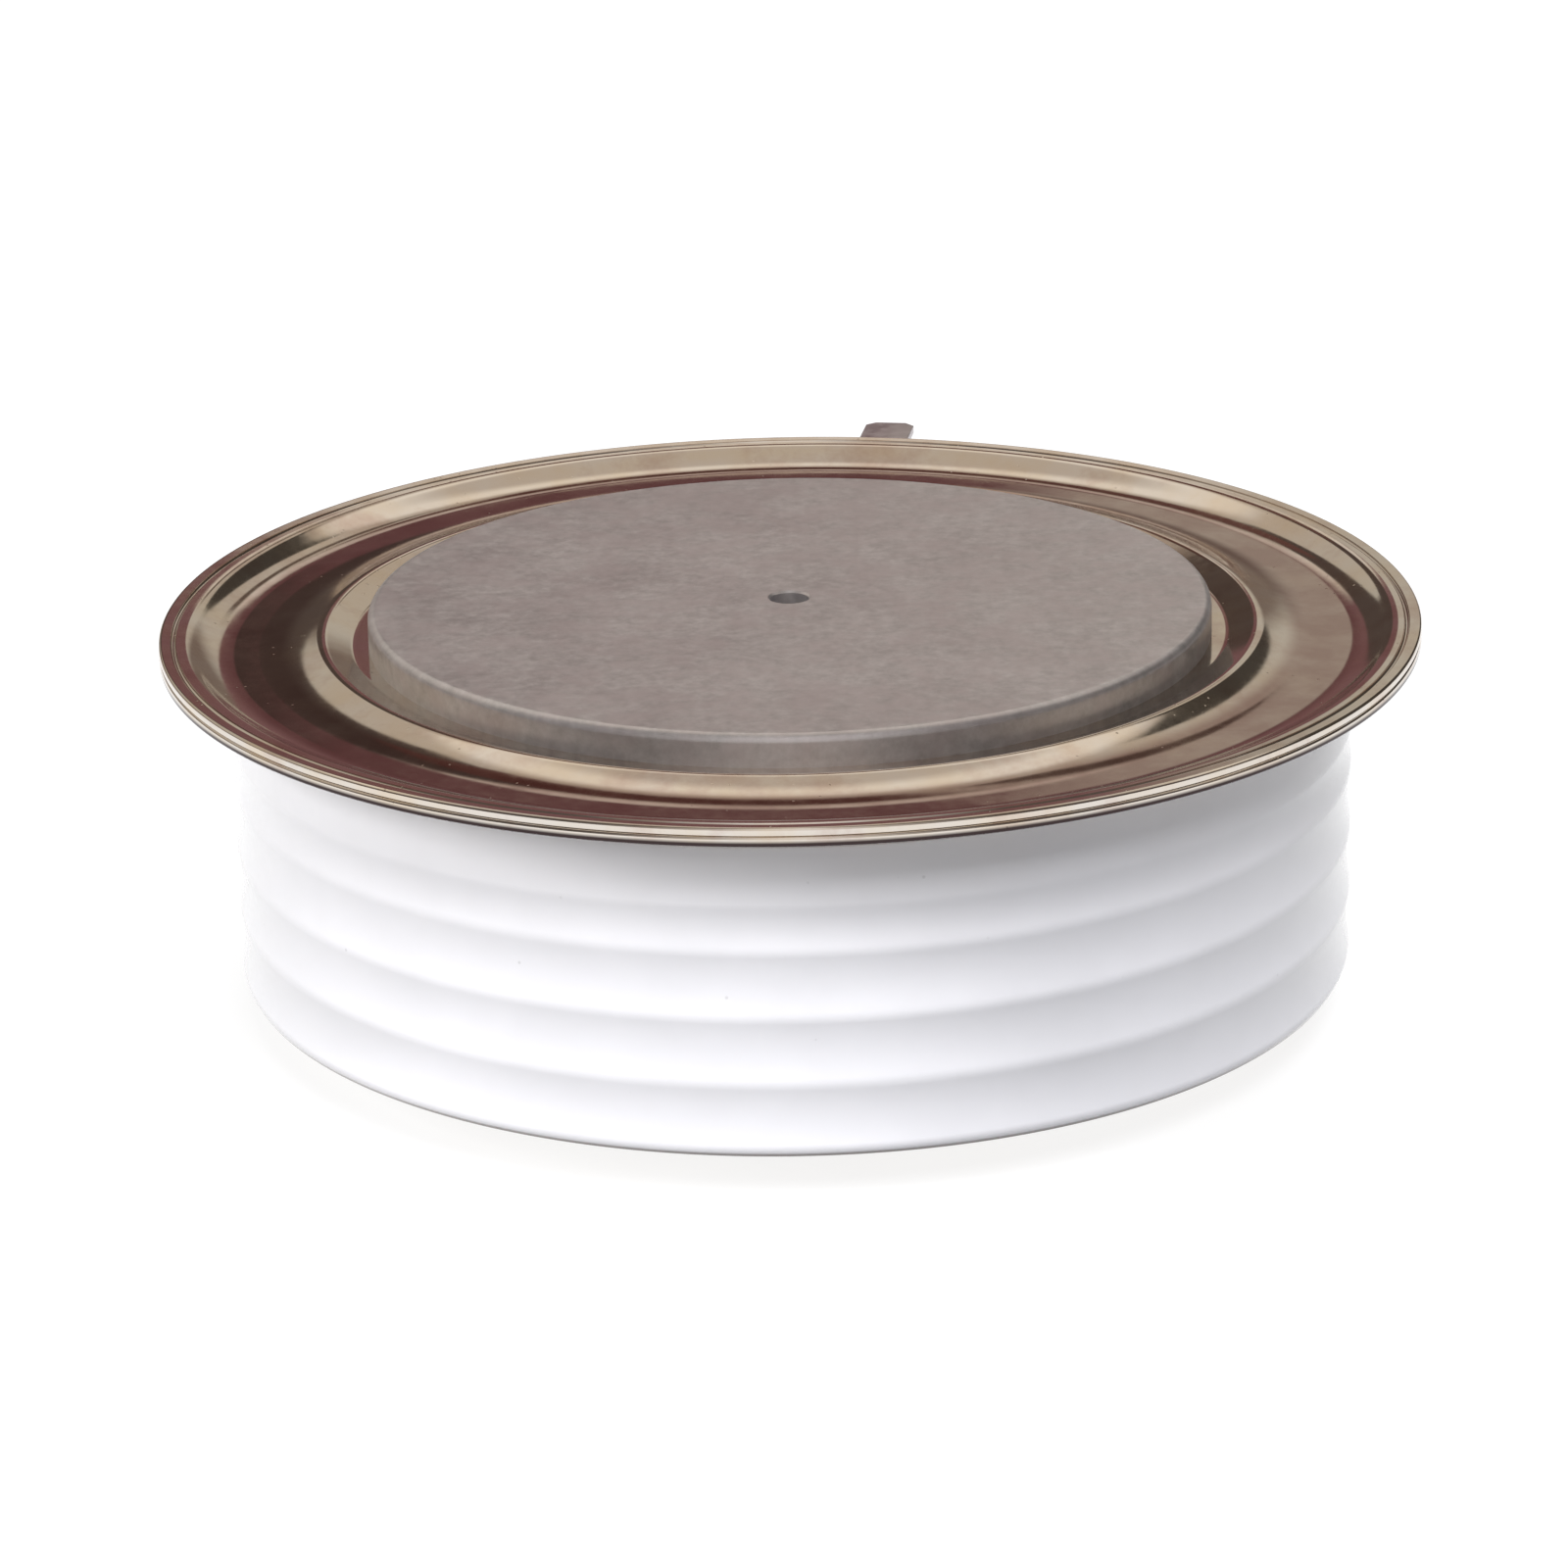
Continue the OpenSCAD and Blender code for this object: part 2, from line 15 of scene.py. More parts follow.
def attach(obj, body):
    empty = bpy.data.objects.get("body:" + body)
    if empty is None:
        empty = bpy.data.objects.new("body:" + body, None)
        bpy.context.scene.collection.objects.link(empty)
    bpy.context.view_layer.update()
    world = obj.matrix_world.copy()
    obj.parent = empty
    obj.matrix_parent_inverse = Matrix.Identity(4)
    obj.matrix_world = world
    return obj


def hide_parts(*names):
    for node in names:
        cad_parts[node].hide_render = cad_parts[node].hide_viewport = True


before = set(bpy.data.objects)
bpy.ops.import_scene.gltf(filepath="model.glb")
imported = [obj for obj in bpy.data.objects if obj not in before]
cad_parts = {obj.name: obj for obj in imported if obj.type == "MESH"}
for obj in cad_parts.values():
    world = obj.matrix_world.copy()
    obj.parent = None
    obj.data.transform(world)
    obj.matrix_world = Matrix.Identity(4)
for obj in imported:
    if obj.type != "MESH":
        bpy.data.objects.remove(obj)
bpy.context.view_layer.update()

bl_info = {
    "name": "Disc thyristor",
    "version": (1, 0, 0),
    "blender": (4, 5, 0),
    "location": "3D View > Sidebar > Thyristor",
    "description": "Builds the finished pieces, materials and stage of a disc thyristor",
    "category": "Object",
}

MM = 0.001
TURN = 2 * math.pi
ARC_STEP = math.radians(6)
ARC_CHORD = 0.32        # mm, the longest step along a wide round
FINISH = "_finish"      # ends the names of the finishes made here
SHARP = math.radians(32)
SUPPORT = 0.06          # mm from a round to the loop that keeps the flat beside it flat

# A plain room that only metal and glaze mirror. Its walls get their colours by elevation in
# degrees. Soft-edged screens stand before them: their sides by azimuth in degrees to the
# right of +Y, their lower and upper edges by elevation, and their colour.
WALLS = (
    (0, (0.20, 0.15, 0.12)), (10, (0.22, 0.17, 0.14)), (16, (0.56, 0.51, 0.43)),
    (40, (0.58, 0.50, 0.42)), (44, (0.98, 0.90, 0.80)), (50, (0.98, 0.90, 0.80)),
    (57, (0.62, 0.55, 0.48)), (90, (0.62, 0.54, 0.44)),
)
SCREENS = (
    (-6, 2.5, -90, 21.5, (0.20, 0.10, 0.10)),       # red-brown curtain beyond the part
    (-16, -5, -90, 37, (0.09, 0.065, 0.055)),       # dark post to its left
    (-12, 3.5, 29, 38, (0.14, 0.065, 0.055)),       # the curtain's rail
    (-4.5, 4.5, 22.5, 27, (0.80, 0.71, 0.62)),      # light between curtain and rail
    (5.5, 9, 22.5, 37, (0.14, 0.10, 0.08)),         # dark post to its right
    (18, 90, -90, 40, (0.07, 0.06, 0.05)),          # dark doorway on the right
)
SCREEN_EDGE = 1.2                       # degrees over which a screen's edge fades
NEAR = (                                # the viewer's side of the room, by azimuth either way
    (105, (0.12, 0.10, 0.09)), (140, (0.12, 0.10, 0.09)), (160, (0.50, 0.46, 0.43)),
    (175, (0.95, 0.90, 0.86)),
)
LENS, SENSOR = 135.45, 36.0             # mm
CAMERA_AT = (0, -0.500, 0.19752)
CAMERA_TO = (-0.0008, 0, 0.01935)
CAMERA_ROLL = -0.0195
LAMPS_TO = (0, 0, 0.02)
FLOOR_R = 4.0                           # m
AMBIENT = (0.32, 0.32, 0.335)
FLOOR_GLOW = 0.82
LAMPS = (                               # name, place, size, watts, colour
    ("key", (-0.88, -0.52, 0.56), 0.50, 10.5, (1.0, 0.985, 0.965)),
    ("top", (0.20, -0.74, 0.98), 0.60, 12.5, (0.985, 0.985, 1.0)),
    ("back", (0.35, 0.95, 0.60), 0.70, 8.0, (1.0, 1.0, 1.0)),
)


# ---------------------------------------------------------------- sizes and colours

def mm(name, default, low, high, description):
    """A length property in millimetres."""
    return FloatProperty(
        name=name, description=description, default=default, min=low, max=high, precision=3)


def tint(name, default, description):
    """A colour property."""
    return FloatVectorProperty(
        name=name, description=description, default=default, size=3,
        min=0.0, max=1.0, subtype="COLOR")


class ThyristorCapsule(bpy.types.PropertyGroup):
    """Sizes of the capsule, in millimetres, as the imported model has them."""
    height: mm("Height", 37.0, 30, 45, "Height between the two contact faces")
    pole_r: mm("Contact radius", 37.5, 30, 45, "Radius of both contact faces")
    face_edge: mm("Face edge", 0.75, 0.2, 1.2, "Radius of each contact face's edge")
    cathode_boss: mm("Cathode boss", 2.9, 2, 4, "Height of the cathode face above the lid")
    anode_boss: mm("Anode boss", 2.2, 1.5, 3, "Height of the anode flange above its face")
    shoulder_w: mm("Shoulder width", 1.4, 1, 2, "Width of the shoulder each flange sits on")
    shoulder_t: mm("Shoulder thickness", 2.0, 1, 3, "Thickness of that shoulder")
    locating_r: mm("Locating hole", 1.75, 1, 3, "Radius of each locating hole")
    locating_depth: mm("Locating depth", 2.0, 1, 3, "Depth of each locating hole")
    bore_r: mm("Bore radius", 43.6, 38, 50, "Radius of the ceramic's bore")
    ceramic_r: mm("Ceramic radius", 50.0, 44, 56, "Radius of the ceramic at its crests")
    flange_r: mm("Flange radius", 56.0, 50, 64, "Radius of the welded flange")
    contact_r: mm("Inner pole radius", 34.3, 30, 38, "Radius of the inner cathode pole")
    contact_z: mm("Inner pole end", 20.4, 18, 23, "Height of the cathode pole's inner end")
    anode_h: mm("Anode pole length", 15.6, 14, 17, "Length of the anode pole")
    gate_bore_r: mm("Gate bore", 4.0, 3, 5, "Radius of the gate's bore in the cathode pole")
    gate_bore_depth: mm("Gate bore depth", 9.0, 8, 10, "Depth of that bore")
    slot_w: mm("Gate slot width", 2.8, 2, 4, "Width of the gate lead's slot")
    slot_h: mm("Gate slot height", 5.2, 4, 6, "Height of that slot's cutter")
    slot_z: mm("Gate slot middle", 1.6, 1, 3, "Its middle above the pole's inner end")
    hole_break: mm("Hole break", 0.18, 0.05, 0.5, "Broken edge of each locating hole")
    end_break: mm("End break", 0.3, 0.1, 0.6, "Broken edge of each pole's inner end")
    segments: IntProperty(
        name="Segments", description="Steps round each turned piece", default=288,
        min=48, max=512)


class ThyristorSheets(bpy.types.PropertyGroup):
    """Sizes of the formed sheet flanges, in millimetres."""
    lid_t: mm("Lid thickness", 0.8, 0.4, 1.2, "Thickness of the lid's sheet")
    weld_t: mm("Weld ring thickness", 0.9, 0.4, 1.2, "Thickness of the weld ring's sheet")
    anode_t: mm("Anode flange thickness", 0.8, 0.4, 1.2, "Thickness of the anode flange")
    rim_w: mm("Rim width", 2.6, 2, 4, "Width of the welded rim")
    rim_rise: mm("Rim rise", 1.45, 1, 2.5, "Rise of the rim above the lid's shelf")
    rim_run: mm("Rim run", 2.2, 1.5, 3, "Run of the slope up to the rim")
    ridge_out: mm("Ridge distance", 4.1, 3, 5, "Ridge's crest, out from the cathode face")
    ridge_rise: mm("Ridge rise", 0.95, 0.3, 1.5, "Rise of the ridge above the shelf")
    ridge_run: mm("Ridge run", 3.0, 2, 6, "Run of the ridge's outer slope")
    ridge_foot: mm("Ridge foot", 13.0, 1, 16, "Round from the ridge's slope into the dish")
    ridge_crest: mm("Ridge crest", 1.4, 0.3, 2, "Round of the ridge's crest")
    dish_round: mm("Dish round", 6.0, 1.5, 6.5, "Round from the dish up to the rim")
    rim_round: mm("Rim round", 2.0, 1, 2.2, "Round from that slope into the rim")
    dish_drop: mm("Dish drop", 0.2, 0, 0.6, "Drop of the dish below the shelf")
    rim_coin: mm("Rim coining", 0.18, 0, 0.3, "Fall of the rim's upper face to its inner side")
    rim_edge: mm("Rim edge", 0.26, 0.05, 0.38, "Round of the cut edges at the rim")
    sheet_edge: mm("Sheet edge", 0.1, 0.02, 0.3, "Round of the anode flange's cut edge")
    groove_in: mm("Groove distance", 1.3, 1, 2, "Cold-weld groove, in from the edge")
    groove_r: mm("Groove radius", 0.26, 0.1, 0.45, "Radius of that groove's section")
    bend: mm("Shoulder bend", 0.4, 0.2, 1, "Inner round of the lid's bend at the shoulder")
    crest_over: mm("Crest over", 0.1, 0, 0.3, "Path's corner above the ridge's round crest")
    crest_in: mm("Crest, inner", 0.5, 0.2, 2, "Round of the crest on the lid's lower side")
    foot_in: mm("Ridge foot, inner", 3.0, 1, 10, "Round of the foot on that side")
    dish_in: mm("Dish round, inner", 1.5, 1, 5, "Round from the dish to the rim on that side")
    rim_in: mm("Rim round, inner", 0.6, 0.2, 2, "Round into the rim on that side")
    bore_gap: mm("Bore gap", 0.4, 0.1, 1, "Weld ring's inner edge, out from the bore")
    anode_start: mm("Anode bend", 0.5, 0.2, 1, "Lower flange's bend, out from the shoulder")
    anode_round: mm("Anode rounds", 0.5, 0.2, 1, "Inner round of the lower flange's bends")
    anode_foot: mm("Anode foot", 1.6, 0.5, 3, "Its second bend, in from the bore")
    anode_rim: mm("Anode rim", 2.8, 1, 5, "Its outer edge, in from the ceramic's crests")
    nest_gap: mm("Nest gap", 0.15, 0.05, 0.4, "Gap between the lid's and ring's dishes")


class ThyristorInsulator(bpy.types.PropertyGroup):
    """Sizes of the ceramic ring, in millimetres."""
    base: mm("Base", 4.2, 3, 6, "Height of the ceramic's lower end")
    band_h: mm("Band height", 5.6, 4, 8, "Height of the plain band at the upper end")
    top_cove_h: mm("Top cove", 4.0, 2, 6, "Height of the shallower cove below that band")
    rib_count: IntProperty(
        name="Crests", description="Number of rounded crests", default=4, min=2, max=6)
    rib_first: mm("First crest", 0.7, 0.5, 2, "Lowest crest above the ceramic's end")
    rib_h: mm("Crest height", 0.6, 0.2, 1, "Height of each crest over its coves")
    crest_r: mm("Crest radius", 2.4, 0.5, 3, "Radius of the rounded crests")
    foot_in: mm("Foot", 0.4, 0.1, 1, "The lower edge, inside the crests")
    foot_round: mm("Foot round", 1.2, 0.3, 2, "Round of the lowest crest")
    glaze_r: mm("Glaze radius", 0.6, 0.2, 1, "Radius of the glazed outer edges")
    chamfer: mm("End chamfer", 0.4, 0.1, 1, "Chamfer of the bore's ends")


class ThyristorTerminals(bpy.types.PropertyGroup):
    """Sizes of the gate tube and the two blade terminals, in millimetres."""
    gate_azimuth: FloatProperty(
        name="Gate direction", description="Direction of the gate terminal, from +X",
        default=math.radians(99), subtype="ANGLE")
    cathode_azimuth: FloatProperty(
        name="Cathode direction", description="Direction of the auxiliary blade, from +X",
        default=math.radians(81), subtype="ANGLE")
    gate_z: mm("Gate height", 29.25, 20, 34, "Height of the gate tube's axis")
    tube_r: mm("Tube radius", 1.5, 1, 2, "Outer radius of the gate tube")
    tube_wall: mm("Tube wall", 0.7, 0.3, 1, "Wall of the gate tube")
    tube_in: mm("Tube inner end", 42.9, 38, 48, "Radius where the gate tube starts")
    tube_out: mm("Tube outer end", 54.0, 50, 58, "Radius where the gate tube ends")
    crimp_len: mm("Crimp length", 3.0, 2, 4, "Length of the crimp on the gate tube")
    crimp_wall: mm("Crimp wall", 0.6, 0.3, 1, "Wall of that crimp")
    blade_w: mm("Blade width", 4.8, 2.8, 6.3, "Width of the blades")
    blade_t: mm("Blade thickness", 0.8, 0.5, 1, "Thickness of the blades")
    blade_free: mm("Blade length", 10.9, 8, 14, "Free length of the blades")
    hole_r: mm("Hole radius", 0.9, 0.5, 1, "Radius of the hole in each blade")
    hole_in: mm("Hole distance", 2.6, 2, 4, "Distance of that hole from the tip")
    clip: mm("Clipped corner", 0.9, 0.3, 1.2, "Clipped corner at each blade's tip")
    blade_edge: mm("Blade edge", 0.1, 0.02, 0.2, "Round of the blades' edges")
    root: mm("Blade root", 1.6, 1, 2, "How far the auxiliary blade reaches under the rim")


class ThyristorColours(bpy.types.PropertyGroup):
    """Colours of the finishes."""
    matte_nickel: tint("Matte nickel", (0.60, 0.58, 0.585), "Plated contact faces")
    bright_nickel: tint("Bright nickel", (0.69, 0.64, 0.585), "Plated sheet flanges")
    terminal_nickel: tint("Terminal nickel", (0.50, 0.45, 0.46), "Tube and blades")
    glaze: tint("Glaze", (0.80, 0.80, 0.835), "Glazed ceramic")
    braze: tint("Braze", (0.72, 0.68, 0.60), "Braze fillets")
    molybdenum: tint("Molybdenum", (0.50, 0.51, 0.55), "Strain discs")
    silicon: tint("Silicon", (0.20, 0.21, 0.26), "Wafer")
    rubber: tint("Silicone rubber", (0.78, 0.74, 0.68), "Wafer's edge")
    insulation: tint("Insulation", (0.86, 0.86, 0.83), "Sleeves and locating ring")
    spring_steel: tint("Spring steel", (0.55, 0.55, 0.56), "Gate spring")
    floor: tint("Floor", (0.20, 0.20, 0.20), "Floor")


class ThyristorSettings(bpy.types.PropertyGroup):
    """All settings of the part."""
    capsule: PointerProperty(type=ThyristorCapsule)
    sheets: PointerProperty(type=ThyristorSheets)
    insulator: PointerProperty(type=ThyristorInsulator)
    terminals: PointerProperty(type=ThyristorTerminals)
    colours: PointerProperty(type=ThyristorColours)


def settings():
    """The part's settings in the open scene."""
    return bpy.context.scene.thyristor


# ---------------------------------------------------------------- profiles

def unit(a, b):
    """Direction from a to b."""
    return (Vector(b) - Vector(a)).normalized()


def cross(u, v):
    """Cross product of two flat vectors."""
    return u[0] * v[1] - u[1] * v[0]


def corner(a, b, c, r):
    """Points of the round of radius r that replaces corner b between a and c."""
    u, v = unit(b, a), unit(b, c)
    half = u.angle(v) / 2
    centre = Vector(b) + (u + v).normalized() * (r / math.sin(half))
    first = Vector(b) + u * (r / math.tan(half)) - centre
    sweep = math.copysign(math.pi - 2 * half, cross(-u, v))
    steps = max(2, math.ceil(abs(sweep) / ARC_STEP), math.ceil(abs(sweep) * r / ARC_CHORD))
    start = math.atan2(first[1], first[0])
    return [centre + r * Vector((math.cos(start + sweep * k / steps),
                                 math.sin(start + sweep * k / steps)))
            for k in range(steps + 1)]


def rounded(path):
    """Points of a path of (x, y, radius) with its inner corners rounded."""
    points = []
    for i, (x, y, r) in enumerate(path):
        if r <= 0 or i in (0, len(path) - 1):
            points.append(Vector((x, y)))
        else:
            points += corner(path[i - 1][:2], (x, y), path[i + 1][:2], r)
    return points


def beside(path, d):
    """The path that runs beside another at distance d to its left."""
    last = len(path) - 1
    result = []
    for i, (x, y, r) in enumerate(path):
        into = unit(path[max(i - 1, 0)][:2], path[max(i, 1)][:2])
        out = into if i == last else unit(path[i][:2], path[i + 1][:2])
        n, m = Vector((-into[1], into[0])), Vector((-out[1], out[0]))
        at = Vector((x, y)) + (n + m) * d / (1 + n.dot(m))
        inner = 0 < i < last
        turn = math.copysign(1, cross(into, out))
        result.append((at[0], at[1], r - turn * d if inner and r > 0 else 0))
    return result


def supported(points, closed=True):
    """The points with one more near each end of every long straight stretch."""
    result = []
    count = len(points)
    for i in range(count):
        a = points[i]
        result.append(a)
        if i == count - 1 and not closed:
            break
        b = points[(i + 1) % count]
        length = (b - a).length
        if length > 6 * SUPPORT:
            step = (b - a) * (SUPPORT / length)
            result += [a + step, b - step]
    return result


# ---------------------------------------------------------------- modelling

def deselect():
    """Object mode with nothing selected."""
    if bpy.context.object and bpy.context.object.mode != "OBJECT":
        bpy.ops.object.mode_set(mode="OBJECT")
    bpy.ops.object.select_all(action="DESELECT")


def single(obj):
    """Makes obj the only selected object."""
    deselect()
    obj.select_set(True)
    bpy.context.view_layer.objects.active = obj


def select_edges(obj, test):
    """In edit mode, selects the edges whose two ends pass a test."""
    mesh = bmesh.from_edit_mesh(obj.data)
    bpy.ops.mesh.select_mode(type="EDGE")
    bpy.ops.mesh.select_all(action="DESELECT")
    for edge in mesh.edges:
        edge.select_set(bool(test(edge.verts[0].co, edge.verts[1].co)))
    bmesh.update_edit_mesh(obj.data)


def modify(obj, kind, **values):
    """Adds a modifier and applies it."""
    single(obj)
    modifier = obj.modifiers.new(kind.title(), kind)
    for key, value in values.items():
        setattr(modifier, key, value)
    bpy.ops.object.modifier_apply(modifier=modifier.name)


def smooth(obj):
    """Smooth shading, except over edges sharper than SHARP."""
    single(obj)
    bpy.ops.object.shade_smooth_by_angle(angle=SHARP)


def settle(obj, name):
    """Names a piece and moves its place, turn and scale into its mesh."""
    single(obj)
    bpy.ops.object.transform_apply(location=True, rotation=True, scale=True)
    obj.name = name
    obj.data.name = name
    return obj


def turned(name, points, closed=True, steps=None):
    """A solid of revolution about Z from profile points (radius, height) in millimetres."""
    deselect()
    first = Vector((points[0][0], 0, points[0][1])) * MM
    bpy.ops.mesh.primitive_plane_add(size=MM, location=first)
    obj = bpy.context.object
    bpy.ops.object.transform_apply(location=True)
    bpy.ops.object.mode_set(mode="EDIT")
    bpy.ops.mesh.select_all(action="SELECT")
    bpy.ops.mesh.merge(type="CENTER")
    ring = list(points[1:]) + ([points[0]] if closed else [])
    at = points[0]
    for point in ring:
        step = Vector((point[0] - at[0], 0, point[1] - at[1])) * MM
        bpy.ops.mesh.extrude_region_move(TRANSFORM_OT_translate={"value": step})
        at = point
    bpy.ops.mesh.select_all(action="SELECT")
    bpy.ops.mesh.remove_doubles(threshold=MM * 1e-4)
    bpy.ops.mesh.spin(
        steps=steps or settings().capsule.segments, angle=TURN, center=(0, 0, 0), axis=(0, 0, 1))
    bpy.ops.mesh.select_all(action="SELECT")
    bpy.ops.mesh.remove_doubles(threshold=MM * 1e-3)
    bpy.ops.mesh.normals_make_consistent(inside=False)
    bpy.ops.object.mode_set(mode="OBJECT")
    settle(obj, name)
    smooth(obj)
    return obj


def cutter_box(size, centre, turn=0.0):
    """A box that cuts a slot: size and centre in millimetres, turned about Z."""
    deselect()
    bpy.ops.mesh.primitive_cube_add(size=1)
    obj = bpy.context.object
    obj.scale = Vector(size) * MM
    bpy.ops.object.transform_apply(scale=True)
    return placed(obj, centre, (0, 0, turn))


def placed(obj, place, turn=(0, 0, 0)):
    """Moves a mesh by place, in millimetres, and then turns it about the origin."""
    single(obj)
    obj.location = Vector(place) * MM
    bpy.ops.object.transform_apply(location=True)
    obj.rotation_euler = turn
    bpy.ops.object.transform_apply(rotation=True)
    return obj


def lying(obj):
    """Lays a piece that was turned about Z along +X."""
    single(obj)
    obj.rotation_euler = (0, math.pi / 2, 0)
    bpy.ops.object.transform_apply(rotation=True)
    return obj


def rod(radius, x0, x1, z, turn, sides=48):
    """A cylinder along a radial direction, from radius x0 to radius x1, in millimetres."""
    deselect()
    bpy.ops.mesh.primitive_cylinder_add(
        vertices=sides, radius=radius * MM, depth=(x1 - x0) * MM, rotation=(0, math.pi / 2, 0))
    obj = bpy.context.object
    bpy.ops.object.transform_apply(rotation=True)
    return placed(obj, ((x0 + x1) / 2, 0, z), (0, 0, turn))


def blade(length):
    """A flat terminal blade along +X from the origin, with clipped corners, broken edges
    and a countersunk hole near its tip."""
    t = settings().terminals
    deselect()
    bpy.ops.mesh.primitive_cube_add(size=1)
    obj = bpy.context.object
    obj.scale = Vector((length, t.blade_w, t.blade_t)) * MM
    bpy.ops.object.transform_apply(scale=True)
    placed(obj, (length / 2, 0, t.blade_t / 2))
    bpy.ops.object.mode_set(mode="EDIT")
    tip = (length - 0.01) * MM
    select_edges(obj, lambda a, b: min(a.x, b.x) > tip and abs(a.z - b.z) > 0.1 * MM)
    bpy.ops.mesh.bevel(offset=t.clip * MM, segments=1, affect="EDGES")
    select_edges(obj, lambda a, b: max(a.x, b.x) > 0.01 * MM)
    bpy.ops.mesh.bevel(offset=t.blade_edge * MM, segments=3, affect="EDGES")
    bpy.ops.object.mode_set(mode="OBJECT")
    sink, far = t.blade_edge, 0.5
    hole = turned("hole", [Vector(v) for v in (
        (0, -far), (t.hole_r + sink + far, -far), (t.hole_r, sink),
        (t.hole_r, t.blade_t - sink), (t.hole_r + sink + far, t.blade_t + far),
        (0, t.blade_t + far))], closed=False, steps=48)
    cut(obj, placed(hole, (length - t.hole_in, 0, 0)))
    return obj


def cut(obj, *cutters):
    """Takes each cutter out of obj and removes it."""
    for tool in cutters:
        modify(obj, "BOOLEAN", object=tool, operation="DIFFERENCE", solver="EXACT")
        bpy.data.objects.remove(tool)


# ---------------------------------------------------------------- materials

class Graph:
    """A node tree under construction, with short calls for the nodes it needs."""

    def __init__(self, tree):
        self.nodes = tree.nodes
        self.links = tree.links

    def new(self, kind, *sources, **values):
        """A node with some sockets set, and its first ones fed from sources."""
        node = self.nodes.new("ShaderNode" + kind)
        for key, value in values.items():
            setattr(node, key, value)
        for socket, source in zip(node.inputs, sources):
            self.feed(source, socket)
        return node

    def feed(self, source, socket):
        """Links source to the socket, or sets the socket to it where it is a plain value."""
        if hasattr(source, "is_linked"):
            self.links.new(source, socket)
        else:
            socket.default_value = source

    def math(self, operation, a, b=0.0, c=0.0):
        """One step of arithmetic."""
        return self.new("Math", a, b, c, operation=operation).outputs["Value"]

    def ramp(self, source, low, high, start, end, kind="LINEAR"):
        """source mapped from low..high to start..end and kept inside it."""
        node = self.new("MapRange", source, low, high, start, end,
                        clamp=True, interpolation_type=kind)
        return node.outputs["Result"]

    def between(self, source, low, high):
        """1 where source lies between low and high, with soft ends, and 0 elsewhere."""
        return self.math("MULTIPLY", *(
            self.ramp(source, edge - SCREEN_EDGE / 2, edge + SCREEN_EDGE / 2, *ends,
                      "SMOOTHSTEP")
            for edge, ends in ((low, (0.0, 1.0)), (high, (1.0, 0.0)))))

    def mix(self, factor, a, b):
        """Colour between a and b."""
        node = self.new("Mix", data_type="RGBA")
        for value, socket in ((factor, node.inputs[0]), (a, node.inputs[6]),
                              (b, node.inputs[7])):
            self.feed((*value, 1) if isinstance(value, tuple) else value, socket)
        return node.outputs[2]

    def colours(self, factor, stops):
        """Colour picked by factor from (position, colour) stops."""
        node = self.new("ValToRGB", factor)
        elements = node.color_ramp.elements
        for k, (position, colour) in enumerate(stops):
            if k >= len(elements):
                elements.new(position)
            elements[k].position = position
            elements[k].color = (*colour, 1)
        return node.outputs["Color"]


class Finish(Graph):
    """A node material for one kind of surface, patterned in Object coordinates."""

    def __init__(self, name, colour, roughness, metallic=0.0):
        self.material = bpy.data.materials.new(name + FINISH)
        self.material.use_nodes = True
        self.material.diffuse_color = (*colour, 1)
        super().__init__(self.material.node_tree)
        self.shader = self.nodes["Principled BSDF"]
        self.set("Base Color", (*colour, 1))
        self.set("Roughness", roughness)
        self.set("Metallic", metallic)
        self.object_xyz = self.nodes.new("ShaderNodeTexCoord").outputs["Object"]

    def set(self, socket, value):
        self.shader.inputs[socket].default_value = value

    def link(self, a, b):
        self.links.new(a, b)

    def stretched(self, scale):
        """Object coordinates scaled along each axis."""
        node = self.nodes.new("ShaderNodeMapping")
        node.inputs["Scale"].default_value = scale
        self.link(self.object_xyz, node.inputs["Vector"])
        return node.outputs["Vector"]

    def noise(self, size_mm, detail=3.0, rough=0.5, vector=None):
        """Noise whose features are about size_mm across."""
        node = self.nodes.new("ShaderNodeTexNoise")
        node.inputs["Scale"].default_value = 1 / (size_mm * MM)
        node.inputs["Detail"].default_value = detail
        node.inputs["Roughness"].default_value = rough
        self.link(vector or self.object_xyz, node.inputs["Vector"])
        return node.outputs["Fac"]

    def cells(self, size_mm):
        """Distance to the nearest of scattered points."""
        node = self.nodes.new("ShaderNodeTexVoronoi")
        node.inputs["Scale"].default_value = 1 / (size_mm * MM)
        self.link(self.object_xyz, node.inputs["Vector"])
        return node.outputs["Distance"]

    def split(self):
        """Object x, y and z."""
        node = self.nodes.new("ShaderNodeSeparateXYZ")
        self.link(self.object_xyz, node.inputs["Vector"])
        return node.outputs

    def radius(self):
        """Distance from the axis, in metres."""
        x, y, _ = self.split()
        return self.math("SQRT", self.math(
            "ADD", self.math("MULTIPLY", x, x), self.math("MULTIPLY", y, y)))

    def bump(self, height, depth_mm, strength=1.0, normal=None):
        """Normal with bumps of depth_mm over an earlier normal."""
        node = self.nodes.new("ShaderNodeBump")
        node.inputs["Distance"].default_value = depth_mm * MM
        node.inputs["Strength"].default_value = strength
        self.link(height, node.inputs["Height"])
        if normal:
            self.link(normal, node.inputs["Normal"])
        return node.outputs["Normal"]

    def done(self, colour, roughness, normal):
        """Links the patterns to the shader."""
        for socket, source in (("Base Color", colour), ("Roughness", roughness),
                               ("Normal", normal)):
            self.link(source, self.shader.inputs[socket])
        return self.material


def shade(colour, factor):
    """The colour made lighter or darker."""
    return tuple(min(1.0, c * factor) for c in colour)


